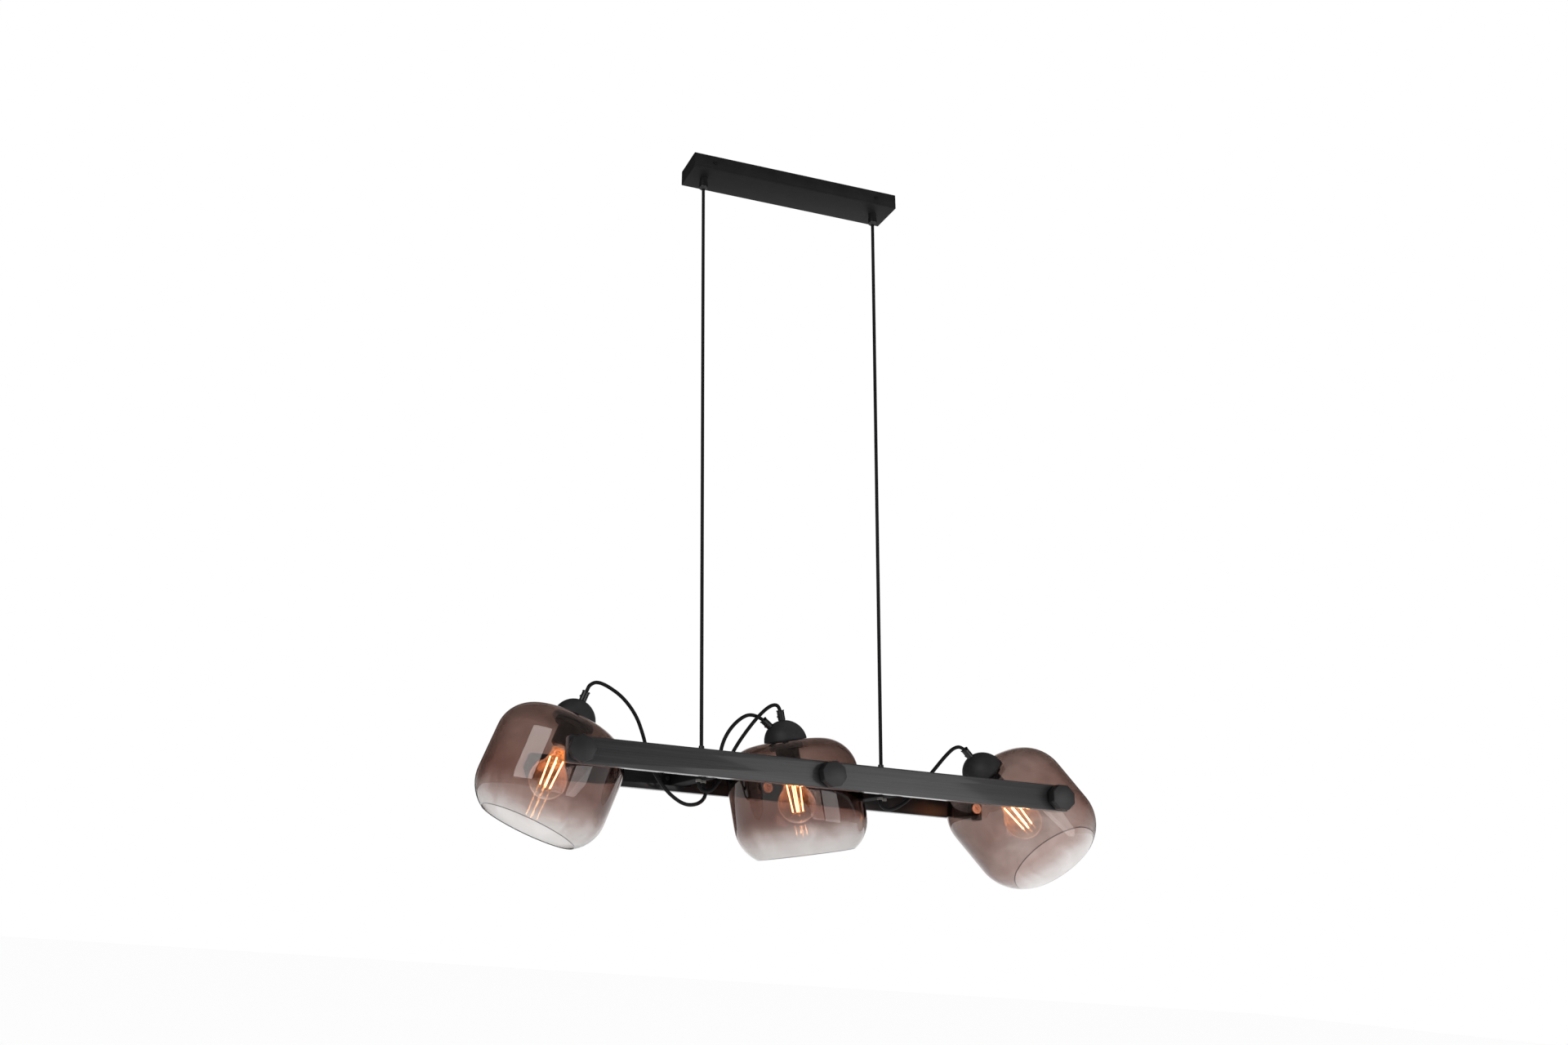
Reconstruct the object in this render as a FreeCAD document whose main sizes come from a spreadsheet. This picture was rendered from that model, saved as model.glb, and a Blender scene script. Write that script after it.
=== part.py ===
import FreeCAD, Part
import math
import os
import Sketcher
from FreeCAD import Vector

# Linear island pendant: a ceiling canopy, two cords, a frame of two long bars and two crossbars,
# and three tilting glass shades. Origin on the ceiling at the canopy's middle, X along the bars,
# the front bar at -Y, Z up, millimetres.

os.makedirs("parts", exist_ok=True)
doc = FreeCAD.newDocument("island_pendant")
sheet = doc.addObject("Spreadsheet::Sheet", "Sizes")

SIZES = {
    # ceiling canopy and its bracket
    "canopy_length": 420, "canopy_width": 70, "canopy_depth": 30, "canopy_wall": 1.2,
    "bracket_length": 380, "bracket_width": 40, "bracket_steel": 2, "bracket_gap": 0.3,
    "tab_width": 16, "tab_drop": 24,
    "side_screw_spacing": 336, "side_screw_drop": 15, "side_screw_radius": 2,
    "side_screw_length": 9, "side_head_radius": 3.8, "side_head_height": 2.4,
    "slot_spacing": 220, "slot_width": 5, "slot_length": 24,
    # terminal block
    "block_length": 22, "block_width": 46, "block_height": 14, "pole_spacing": 14,
    "wire_screw_spacing": 11, "wire_screw_radius": 1.8, "wire_screw_height": 4, "wire_screw_sink": 1,
    # how far a cutting tool reaches past the face that it opens
    "cut_margin": 1,
    # cords and cord grips
    "cord_radius": 3, "bore_gap": 0.2, "outlet_spacing": 356, "lead_bend": 14,
    "collar_radius": 7.5, "collar_height": 9, "clamp_radius": 8.2, "clamp_height": 12,
    "nose_radius": 4.5, "nose_height": 3, "stem_radius": 5, "stem_gap": 0.1,
    "nut_width": 15, "nut_height": 3, "nose_bore": 4,
    # frame
    "bar_drop": 1144, "bar_length": 836, "bar_thickness": 18, "bar_height": 40,
    "bar_corner": 3.5, "frame_width": 256,
    "crossbar_spacing": 320, "crossbar_width": 24, "crossbar_height": 22, "crossbar_wall": 1.5,
    "plate_length": 50, "plate_thickness": 3, "plate_screw_spacing": 35,
    "plate_screw_radius": 2, "plate_screw_bite": 12, "plate_head_radius": 3.6,
    "plate_head_height": 2.4,
    "ferrule_radius": 5.6, "ferrule_height": 32, "ferrule_taper": 12, "ferrule_mouth": 4.4,
    "nipple_radius": 4.8, "nipple_height": 4, "nipple_bore": 3, "nipple_stem": 3.8,
    "nipple_across": 11, "nipple_apart": 8,
    "grommet_radius": 5, "grommet_flange": 1.5, "splice_length": 36, "splice_width": 11,
    "splice_height": 9, "splice_place": 50,
    # heads
    "pivot_inset": 18, "tilt_left": -21, "tilt_middle": 11, "tilt_right": 44,
    "shade_clearance": 3.5, "shade_crown": 64, "shade_shoulder": 54.5, "shade_barrel_end": 62,
    "shade_mouth": 114, "mouth_narrowing": 28.5, "glass_wall": 3,
    "gasket_height": 1.5, "gasket_overhang": 0.6,
    "dome_radius": 35, "dome_wall": 1.5,
    "holder_radius": 19.5, "holder_fit": 0.7, "holder_flange": 25, "holder_flange_height": 2.5,
    "holder_top": 80, "holder_neck": 15, "holder_bottom": 20, "thread_gap": 0.1,
    "ring_radius": 27, "ring_height": 6, "ring_gap": 0.1,
    "bulb_radius": 30, "bulb_centre": 35, "bulb_neck": 13.6, "bulb_neck_top": 14,
    "bulb_shoulder": 8, "bulb_wall": 0.8, "cap_radius": 13.2, "cap_rim": 14.1, "cap_top": 36,
    "cap_rim_height": 2, "cap_rim_slope": 1,
    "cap_tip_radius": 4.5, "cap_tip_top": 42,
    "stem_glass_radius": 4, "stem_glass_end": 6, "filament_radius": 1.2, "filament_top": 1,
    "filament_bottom": 47, "filament_top_spread": 11, "filament_bottom_spread": 8.3,
    "filament_arm_radius": 0.5,
    "dome_grip_radius": 6, "dome_grip_height": 16.5, "dome_grip_stem": 4.9, "grip_bore": 8,
    "grip_lip": 0.6,
    "grip_notch": 3.2, "clamp_screw_radius": 1.6, "clamp_screw_length": 4.2,
    "side_grip_angle": 41, "cable_run_out": 5,
    # pivots and knobs
    "bolt_radius": 4, "bolt_fit": 0.05, "glass_hole_gap": 0.6, "bolt_reach": 13,
    "bolt_head_radius": 9, "bolt_head_height": 4.5, "recess_length": 9, "recess_width": 1.6,
    "recess_depth": 2, "washer_radius": 11, "washer_height": 2, "seat_gap": 0.1,
    "turning_gap": 0.2,
    "knob_width": 38, "knob_height": 14, "knob_neck_radius": 11, "knob_neck": 4,
    "knob_chamfer": 2,
}


class Size:
    """A length with its number and the spreadsheet expression that drives it."""

    def __init__(self, number, text):
        self.number = number
        self.text = text

    def __add__(self, other):
        other = as_size(other)
        return Size(self.number + other.number, f"({self.text} + {other.text})")

    def __sub__(self, other):
        other = as_size(other)
        return Size(self.number - other.number, f"({self.text} - {other.text})")

    def __rsub__(self, other):
        return as_size(other) - self

    def __mul__(self, factor):
        factor = as_size(factor)
        return Size(self.number * factor.number, f"({self.text} * {factor.text})")

    def __truediv__(self, factor):
        factor = as_size(factor)
        return Size(self.number / factor.number, f"({self.text} / {factor.text})")

    def __neg__(self):
        return Size(-self.number, f"(-1 * {self.text})")

    __radd__ = __add__
    __rmul__ = __mul__


def as_size(value):
    """A Size as it is, or a plain number made into one."""
    if isinstance(value, Size):
        return value
    return Size(float(value), f"{float(value):.6f}")


def root(size):
    """The square root of a Size."""
    return Size(math.sqrt(size.number), f"sqrt({size.text})")


for row, (alias, number) in enumerate(SIZES.items(), start=1):
    sheet.set(f"A{row}", alias)
    sheet.set(f"B{row}", str(number))
    sheet.setAlias(f"B{row}", alias)
doc.recompute()


def size(alias):
    """The named size, as the spreadsheet has it."""
    return Size(float(sheet.get(alias)), f"Sizes.{alias}")


sub_parts = []
TURNS = {"z": "rotation(vector(0; 0; 1); 0)", "y": "rotation(vector(1; 0; 0); -90)",
         "x": "rotation(vector(0; 1; 0); 90)"}


def bind(thing, field, value):
    """Drive one number of an object from the spreadsheet."""
    thing.setExpression(field, as_size(value).text)


def place(thing, x=0, y=0, z=0, turn=TURNS["z"]):
    """Drive an object's place and turn from the spreadsheet."""
    x, y, z = as_size(x), as_size(y), as_size(z)
    thing.setExpression("Placement", f"placement(vector({x.text}; {y.text}; {z.text}); {turn})")
    return thing


def block(name, length, width, height, x=0, y=0, z=0):
    """A box whose middle is at x and y and whose foot is at z."""
    thing = doc.addObject("Part::Box", name)
    bind(thing, "Length", length)
    bind(thing, "Width", width)
    bind(thing, "Height", height)
    return place(thing, x - as_size(length) / 2, y - as_size(width) / 2, z)


def rod(name, radius, height, x=0, y=0, z=0, axis="z"):
    """A cylinder that starts at a point and runs along an axis."""
    thing = doc.addObject("Part::Cylinder", name)
    bind(thing, "Radius", radius)
    bind(thing, "Height", height)
    return place(thing, x, y, z, TURNS[axis])


def ball(name, radius, z=0, lowest=-90):
    """A ball, or its upper half, centred on the Z axis."""
    thing = doc.addObject("Part::Sphere", name)
    bind(thing, "Radius", radius)
    thing.Angle1 = lowest
    return place(thing, 0, 0, z)


def turned(name, corners, arcs=()):
    """A turned piece: a sketched outline of radius and height, revolved about Z.

    An arc is the number of the edge it replaces, its radius, and its centre's radius and height.
    """
    body = doc.addObject("PartDesign::Body", name)
    sketch = body.newObject("Sketcher::SketchObject", name + "_outline")
    plane = [item for item in body.Origin.OriginFeatures if item.Role == "XZ_Plane"][0]
    sketch.AttachmentSupport = [(plane, "")]
    sketch.MapMode = "FlatFace"
    points = [Vector(r.number, h.number, 0) for r, h in corners]
    bends = {edge: (radius, Vector(as_size(r).number, as_size(h).number, 0))
             for edge, radius, r, h in arcs}
    ends = []
    for edge, start in enumerate(points):
        finish = points[(edge + 1) % len(points)]
        if edge not in bends:
            sketch.addGeometry(Part.LineSegment(start, finish))
            ends.append((1, 2))
            continue
        radius, centre = bends[edge]
        first = math.atan2(start.y - centre.y, start.x - centre.x)
        last = math.atan2(finish.y - centre.y, finish.x - centre.x)
        turns_left = math.sin(last - first) > 0
        if not turns_left:
            first, last = last, first
        circle = Part.Circle(centre, Vector(0, 0, 1), radius.number)
        sketch.addGeometry(Part.ArcOfCircle(circle, first, last))
        ends.append((1, 2) if turns_left else (2, 1))
    for edge, (head, tail) in enumerate(ends):
        after = (edge + 1) % len(ends)
        sketch.addConstraint(Sketcher.Constraint("Coincident", edge, tail, after, ends[after][0]))
    for edge, (r, h) in enumerate(corners):
        for kind, value in (("DistanceX", r), ("DistanceY", h)):
            rule = Sketcher.Constraint(kind, -1, 1, edge, ends[edge][0], value.number)
            number = sketch.addConstraint(rule)
            sketch.setExpression(f"Constraints[{number}]", value.text)
    for edge, (radius, _) in bends.items():
        number = sketch.addConstraint(Sketcher.Constraint("Radius", edge, radius.number))
        sketch.setExpression(f"Constraints[{number}]", radius.text)
    spin = body.newObject("PartDesign::Revolution", name + "_turn")
    spin.Profile = sketch
    spin.ReferenceAxis = (sketch, ["V_Axis"])
    spin.Angle = 360
    body.Tip = spin
    return body


def flat_ring(name, inner, outer, foot, top):
    """A flat ring about the Z axis."""
    disc = rod(name + "_disc", outer, top - foot, 0, 0, foot)
    return cut(name, disc, rod(name + "_bore", inner, top - foot, 0, 0, foot))


def fuse(name, *pieces):
    """Several touching pieces made one."""
    thing = doc.addObject("Part::MultiFuse", name)
    thing.Shapes = list(pieces)
    thing.Refine = True
    return thing


def cut(name, base, *tools):
    """A piece with others taken out of it."""
    thing = doc.addObject("Part::Cut", name)
    thing.Base = base
    thing.Tool = tools[0] if len(tools) == 1 else fuse(name + "_tools", *tools)
    return thing


def shared(name, one, other):
    """What two pieces have in common."""
    thing = doc.addObject("Part::Common", name)
    thing.Base = one
    thing.Tool = other
    return thing


def mirrored(name, piece, normal):
    """A mirror image through the origin's plane."""
    thing = doc.addObject("Part::Mirroring", name)
    thing.Source = piece
    thing.Normal = normal
    return thing


def group(name, *pieces):
    """Separate solids kept together."""
    thing = doc.addObject("Part::Compound", name)
    thing.Links = list(pieces)
    return thing


def sub_part(label, thing):
    """Name a finished sub-part of the pendant."""
    thing.Label = label
    sub_parts.append(thing)
    return thing


ALONG_Y = Vector(0, 1, 0)

# Ceiling canopy: a thin sheet-metal cover, open at the ceiling, with a hole for each cord grip
# and a hole for each side screw.
canopy_floor = -size("canopy_depth")
canopy_inside = canopy_floor + size("canopy_wall")
outlet_x = size("outlet_spacing") / 2
screw_x = size("side_screw_spacing") / 2
side_screw_z = -size("side_screw_drop")
inner_face = size("canopy_width") / 2 - size("canopy_wall")
tab_face = inner_face - size("bracket_gap")
grip_hole = size("stem_radius") + size("stem_gap")
margin = size("cut_margin")
screw_hole = size("side_screw_radius") + size("stem_gap")


def canopy_shell():
    outer = block("canopy_outer", size("canopy_length"), size("canopy_width"),
                  size("canopy_depth"), 0, 0, canopy_floor)
    hollow = block("canopy_hollow", size("canopy_length") - size("canopy_wall") * 2,
                   inner_face * 2, size("canopy_depth"), 0, 0, canopy_inside)
    holes = [hollow]
    for number, side in enumerate((-1, 1)):
        holes.append(rod(f"canopy_outlet{number}", grip_hole, size("canopy_wall") * 3,
                         outlet_x * side, 0, canopy_floor - size("canopy_wall")))
        holes.append(rod(f"canopy_screw_hole{number}", screw_hole, size("canopy_width") * 1.2,
                         screw_x * side, size("canopy_width") * -0.6, side_screw_z, "y"))
    return sub_part("canopy_shell", cut("canopy_cover", outer, *holes))


def mounting_bracket():
    steel = size("bracket_steel")
    pieces = [block("bracket_web", size("bracket_length"), size("bracket_width"), steel,
                    0, 0, -steel)]
    holes = []
    for number, side in enumerate((-1, 1)):
        pieces.append(block(f"bracket_strap{number}", size("tab_width"), tab_face * 2, steel,
                            screw_x * side, 0, -steel))
        for count, face in enumerate((-1, 1)):
            pieces.append(block(f"bracket_tab{number}{count}", size("tab_width"), steel,
                                size("tab_drop"), screw_x * side,
                                (tab_face - steel / 2) * face, -size("tab_drop")))
        holes.append(rod(f"bracket_tap{number}", screw_hole, size("canopy_width"),
                         screw_x * side, size("canopy_width") * -0.5, side_screw_z, "y"))
        slot_x = size("slot_spacing") / 2 * side
        straight = size("slot_length") - size("slot_width")
        holes.append(block(f"bracket_slot{number}", straight, size("slot_width"), steel * 3,
                           slot_x, 0, steel * -2))
        for count, end in enumerate((-0.5, 0.5)):
            holes.append(rod(f"bracket_slot_end{number}{count}", size("slot_width") / 2,
                             steel * 3, slot_x + straight * end, 0, steel * -2))
    return sub_part("mounting_bracket", cut("bracket_cut", fuse("bracket_steelwork", *pieces),
                                            *holes))


def canopy_side_screws():
    outside = size("canopy_width") / 2
    screws = []
    for number, side in enumerate((-1, 1)):
        shank = rod(f"side_shank{number}", size("side_screw_radius"),
                    size("side_screw_length"), screw_x * side,
                    outside - size("side_screw_length"), side_screw_z, "y")
        head = rod(f"side_head{number}", size("side_head_radius"), size("side_head_height"),
                   screw_x * side, outside, side_screw_z, "y")
        screw = fuse(f"side_screw{number}", shank, head)
        screws += [screw, mirrored(f"side_screw_front{number}", screw, ALONG_Y)]
    return sub_part("canopy_side_screws", group("side_screw_set", *screws))


# Terminal block under the bracket, with two screws for each pole.
block_foot = -size("bracket_steel") - size("block_height")


def terminal_block():
    housing = block("block_housing", size("block_length"), size("block_width"),
                    size("block_height"), 0, 0, block_foot)
    wells = []
    screws = []
    well = size("wire_screw_radius") + size("bore_gap")
    for pole in (-1, 0, 1):
        for side in (-0.5, 0.5):
            x = size("wire_screw_spacing") * side
            y = size("pole_spacing") * pole
            tag = f"{pole + 1}{'ab'[side > 0]}"
            sink = size("wire_screw_sink")
            wells.append(rod("block_well" + tag, well,
                             size("wire_screw_height") + sink + margin, x, y,
                             block_foot - margin))
            screws.append(rod("block_screw" + tag, size("wire_screw_radius"),
                              size("wire_screw_height"), x, y, block_foot + sink))
    sub_part("terminal_block", cut("block_body", housing, *wells))
    sub_part("terminal_screws", group("block_screw_set", *screws))


# Cord grips under the canopy: collar and clamping cap outside, stem and lock nut inside.
# The cord starts at the floor of the nose's blind bore.
grip_nose = canopy_floor - size("collar_height") - size("clamp_height") - size("nose_height")
cord_bore = size("cord_radius") + size("bore_gap")
stem_top = canopy_inside + size("nut_height")


def canopy_cord_grips():
    cap_chamfer = size("clamp_radius") - size("nose_radius")
    outline = [(as_size(0), grip_nose), (size("nose_radius"), grip_nose),
               (size("clamp_radius"), grip_nose + size("nose_height") + cap_chamfer * 0.2),
               (size("clamp_radius"), canopy_floor - size("collar_height")),
               (size("collar_radius"), canopy_floor - size("collar_height")),
               (size("collar_radius"), canopy_floor), (size("stem_radius"), canopy_floor),
               (size("stem_radius"), stem_top), (as_size(0), stem_top)]
    whole = turned("grip_turned", outline)
    bore = rod("grip_nose_bore", cord_bore, size("nose_bore") + margin, 0, 0,
               grip_nose - margin)
    grips = []
    for number, side in enumerate((-1, 1)):
        copy = group(f"grip_copy{number}", cut(f"grip_cut{number}", whole, bore))
        grips.append(place(copy, outlet_x * side))
    sub_part("canopy_cord_grips", group("grip_pair", *grips))


def canopy_grip_nuts():
    nuts = []
    for number, side in enumerate((-1, 1)):
        hexagon = doc.addObject("Part::Prism", f"nut_hexagon{number}")
        hexagon.Polygon = 6
        bind(hexagon, "Circumradius", size("nut_width") / math.sqrt(3))
        bind(hexagon, "Height", size("nut_height"))
        place(hexagon, outlet_x * side, 0, canopy_inside)
        thread = rod(f"nut_thread{number}", grip_hole, size("nut_height") + margin * 2,
                     outlet_x * side, 0, canopy_inside - margin)
        nuts.append(cut(f"nut{number}", hexagon, thread))
    sub_part("canopy_grip_nuts", group("nut_pair", *nuts))


def tube(name, path, radius):
    """A round cord along a wire."""
    edge = path.OrderedEdges[0]
    start = edge.valueAt(edge.FirstParameter)
    heading = edge.tangentAt(edge.FirstParameter)
    section = Part.Wire([Part.Circle(start, heading, radius).toShape()])
    shape = path.makePipeShell([section], True, False)
    length = path.Length
    volume = math.pi * radius ** 2 * length
    print(f"{name}: length {length:.1f}, volume {shape.Volume / volume:.4f} of section by length")
    thing = doc.addObject("Part::Feature", name)
    thing.Shape = shape
    thing.Placement = FreeCAD.Placement()
    return thing


def lead_path(side):
    """The route of one lead, from its grip up and along to the terminal block."""
    x, foot = outlet_x.number * side, stem_top.number
    bend = size("lead_bend").number
    level = foot + bend
    end = size("block_length").number / 2 * side
    turn = bend * (1 - math.sqrt(0.5))
    arc = Part.Arc(Vector(x, 0, foot), Vector(x - turn * side, 0, level - turn),
                   Vector(x - bend * side, 0, level))
    run = Part.LineSegment(Vector(x - bend * side, 0, level), Vector(end, 0, level))
    return Part.Wire([arc.toShape(), run.toShape()])


def canopy_leads():
    leads = [tube(f"lead{number}", lead_path(side), size("cord_radius").number)
             for number, side in enumerate((-1, 1))]
    sub_part("canopy_leads", group("lead_pair", *leads))


# Frame: front and back bar with rounded end corners, bored for the shades' pivot bolts.
bar_z = -size("bar_drop")
bar_inner = size("frame_width") / 2 - size("bar_thickness")
bar_outer = size("frame_width") / 2
bolt_hole = size("bolt_radius") + size("bolt_fit")
plate_screw_x = size("plate_screw_spacing") / 2
crossbar_x = size("crossbar_spacing") / 2
pivot_x = size("bar_length") / 2 - size("pivot_inset")


def bar(label, side):
    """One long bar. Side is -1 in front and 1 at the back."""
    body = doc.addObject("PartDesign::Body", label + "_body")
    sketch = body.newObject("Sketcher::SketchObject", label + "_outline")
    plane = [item for item in body.Origin.OriginFeatures if item.Role == "XZ_Plane"][0]
    sketch.AttachmentSupport = [(plane, "")]
    sketch.MapMode = "FlatFace"
    half_x, half_z = size("bar_length").number / 2, size("bar_height").number / 2
    corners = [Vector(-half_x, -half_z, 0), Vector(half_x, -half_z, 0),
               Vector(half_x, half_z, 0), Vector(-half_x, half_z, 0)]
    for number, corner in enumerate(corners):
        sketch.addGeometry(Part.LineSegment(corner, corners[(number + 1) % 4]))
    for number in range(4):
        after = (number + 1) % 4
        sketch.addConstraint(Sketcher.Constraint("Coincident", number, 2, after, 1))
        flat = "Horizontal" if number % 2 == 0 else "Vertical"
        sketch.addConstraint(Sketcher.Constraint(flat, number))
    sketch.addConstraint(Sketcher.Constraint("Symmetric", 0, 1, 1, 2, -1, 1))
    long_way = sketch.addConstraint(Sketcher.Constraint("DistanceX", 0, 1, 0, 2, half_x * 2))
    high_way = sketch.addConstraint(Sketcher.Constraint("DistanceY", 1, 1, 1, 2, half_z * 2))
    sketch.setExpression(f"Constraints[{long_way}]", size("bar_length").text)
    sketch.setExpression(f"Constraints[{high_way}]", size("bar_height").text)
    pad = body.newObject("PartDesign::Pad", label + "_pad")
    pad.Profile = sketch
    bind(pad, "Length", size("bar_thickness"))
    pad.SideType = "Symmetric"
    body.Tip = pad
    doc.recompute()
    upright = [f"Edge{number}" for number, edge in enumerate(pad.Shape.Edges, start=1)
               if abs(edge.tangentAt(edge.FirstParameter).y) > 0.9]
    rounding = body.newObject("PartDesign::Fillet", label + "_corners")
    rounding.Base = (pad, upright)
    bind(rounding, "Radius", size("bar_corner"))
    body.Tip = rounding
    place(body, 0, (bar_inner + size("bar_thickness") / 2) * side, bar_z)
    holes = []
    for count in (-1, 0, 1):
        holes.append(rod(f"{label}_pivot{count + 1}", bolt_hole, size("frame_width") * 0.6,
                         pivot_x * count,
                         0 if side > 0 else size("frame_width") * -0.6, bar_z, "y"))
    bite = bar_inner + size("plate_screw_bite")
    for count, end in enumerate((-1, 1)):
        for tag, offset in enumerate((-1, 1)):
            holes.append(rod(f"{label}_pilot{count}{tag}", size("plate_screw_radius"), bite,
                             crossbar_x * end + plate_screw_x * offset,
                             0 if side > 0 else -bite, bar_z, "y"))
    return sub_part(label, cut(label + "_bored", body, *holes))


# Crossbars: a rectangular tube with a screwed end plate on each bar. The suspension cord's grip
# stands on top, two nipples for lamp cables point down, and one more cable enters the left
# tube's side.
tube_top = bar_z + size("crossbar_height") / 2
tube_foot = bar_z - size("crossbar_height") / 2


nipple_hole = size("nipple_stem") + size("stem_gap")


def nipple_place(side, which):
    """Across and front to back, a nipple's place. Which is -1 for the front one, 1 for the other."""
    return crossbar_x * side + size("nipple_across") / 2 * which, size("nipple_apart") / 2 * which


def nipple_floor(side, which):
    """The floor of a nipple's bore, where a lamp cable starts."""
    across, depth = nipple_place(side, which)
    floor = tube_foot - size("nipple_height") + size("nipple_bore")
    return Vector(across.number, depth.number, floor.number)


def crossbar(label, side):
    """One crossbar. Side is -1 for the left one and 1 for the right one."""
    wall = size("crossbar_wall")
    plate = size("plate_thickness")
    tube_length = (bar_inner - plate) * 2
    x = crossbar_x * side
    pieces = [block(label + "_tube", size("crossbar_width"), tube_length,
                    size("crossbar_height"), x, 0, tube_foot)]
    hollow = block(label + "_hollow", size("crossbar_width") - wall * 2, tube_length,
                   size("crossbar_height") - wall * 2, x, 0, tube_foot + wall)
    skin = [cut(label + "_skin", pieces[0], hollow)]
    holes = []
    for count, face in enumerate((-1, 1)):
        skin.append(block(f"{label}_plate{count}", size("plate_length"), plate,
                          size("crossbar_height"), x, (bar_inner - plate / 2) * face,
                          tube_foot))
        for tag, offset in enumerate((-1, 1)):
            holes.append(rod(f"{label}_screw{count}{tag}",
                             size("plate_screw_radius") + size("stem_gap"), plate * 3,
                             x + plate_screw_x * offset,
                             bar_inner - plate * 2 if face > 0 else -bar_inner - plate,
                             bar_z, "y"))
    holes.append(rod(label + "_top_hole", grip_hole, wall * 3, x, 0, tube_top - wall * 2))
    for count, which in enumerate((-1, 1)):
        across, depth = nipple_place(side, which)
        holes.append(rod(f"{label}_low_hole{count}", nipple_hole, wall * 3, across, depth,
                         tube_foot - wall))
    if side < 0:
        holes.append(rod(label + "_side_hole", size("grommet_radius") - size("grommet_flange"),
                         wall * 3, x + size("crossbar_width") / 2 - wall * 2, 0, bar_z, "x"))
    return sub_part(label, cut(label + "_drilled", fuse(label + "_welded", *skin), *holes))


def crossbar_screws():
    screws = []
    head_face = bar_inner - size("plate_thickness")
    for count, side in enumerate((-1, 1)):
        for tag, offset in enumerate((-1, 1)):
            x = crossbar_x * side + plate_screw_x * offset
            shank = rod(f"plate_shank{count}{tag}", size("plate_screw_radius"),
                        size("plate_thickness") + size("plate_screw_bite"), x, head_face,
                        bar_z, "y")
            head = rod(f"plate_head{count}{tag}", size("plate_head_radius"),
                       size("plate_head_height"), x, head_face - size("plate_head_height"),
                       bar_z, "y")
            screw = fuse(f"plate_screw{count}{tag}", shank, head)
            screws += [screw, mirrored(f"plate_screw_front{count}{tag}", screw, ALONG_Y)]
    sub_part("crossbar_screws", group("plate_screw_set", *screws))


def suspension_grips():
    """The ferrule on top of each crossbar that holds a suspension cord."""
    height, taper = size("ferrule_height"), size("ferrule_taper")
    inside = size("crossbar_wall") * 3
    ferrule = turned("ferrule_turned", [
        (as_size(0), -inside), (size("stem_radius"), -inside), (size("stem_radius"), as_size(0)),
        (size("ferrule_radius"), as_size(0)), (size("ferrule_radius"), height - taper),
        (size("ferrule_mouth"), height), (as_size(0), height)])
    bore = rod("ferrule_bore", cord_bore, taper + margin, 0, 0, height - taper)
    grips = []
    for number, side in enumerate((-1, 1)):
        grip = group(f"ferrule_copy{number}", cut(f"ferrule{number}", ferrule, bore))
        grips.append(place(grip, crossbar_x * side, 0, tube_top))
    sub_part("suspension_grips", group("ferrule_pair", *grips))


def outlet_nipples():
    """The small nipples under each crossbar that the lamp cables come out of."""
    low = -size("nipple_height")
    inside = size("crossbar_wall") * 2
    nipple = turned("nipple_turned", [
        (as_size(0), low), (size("nipple_radius"), low), (size("nipple_radius"), as_size(0)),
        (size("nipple_stem"), as_size(0)), (size("nipple_stem"), inside), (as_size(0), inside)])
    bore = rod("nipple_cable_bore", cord_bore, size("nipple_bore") + margin, 0, 0, low - margin)
    nipples = []
    for side in (-1, 1):
        for which in (-1, 1):
            tag = f"{side + 1}{which + 1}"
            across, depth = nipple_place(side, which)
            piece = group("nipple_copy" + tag, cut("nipple" + tag, nipple, bore))
            nipples.append(place(piece, across, depth, tube_foot))
    sub_part("outlet_nipples", group("nipple_set", *nipples))


grommet_face = -crossbar_x + size("crossbar_width") / 2 + size("grommet_flange")


def crossbar_grommet():
    neck = size("grommet_radius") - size("grommet_flange") - size("stem_gap")
    flange = rod("grommet_flange_disc", size("grommet_radius"), size("grommet_flange"),
                 grommet_face - size("grommet_flange"), 0, bar_z, "x")
    shank = rod("grommet_neck", neck, size("crossbar_wall"),
                grommet_face - size("grommet_flange") - size("crossbar_wall"), 0, bar_z, "x")
    sub_part("crossbar_grommet", fuse("grommet_rubber", flange, shank))


def crossbar_splices():
    splices = [block(f"splice{number}", size("splice_width"), size("splice_length"),
                     size("splice_height"), crossbar_x * side, size("splice_place"),
                     tube_foot + size("crossbar_wall"))
               for number, side in enumerate((-1, 1))]
    sub_part("crossbar_splices", group("splice_pair", *splices))


# Suspension cords: taut, each one straight run from its canopy grip to its crossbar.
cord_top = grip_nose + size("nose_bore")
cord_foot = tube_top + size("ferrule_height") - size("ferrule_taper")


def suspension_cord(label, side):
    rings = []
    for number, (x, z) in enumerate(((outlet_x * side, cord_top), (crossbar_x * side, cord_foot))):
        ring = doc.addObject("Part::Circle", f"{label}_ring{number}")
        bind(ring, "Radius", size("cord_radius"))
        rings.append(place(ring, x, 0, z))
    loft = doc.addObject("Part::Loft", label + "_run")
    loft.Sections = rings
    loft.Solid = True
    loft.Ruled = True
    sub_part(label, loft)


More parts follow.
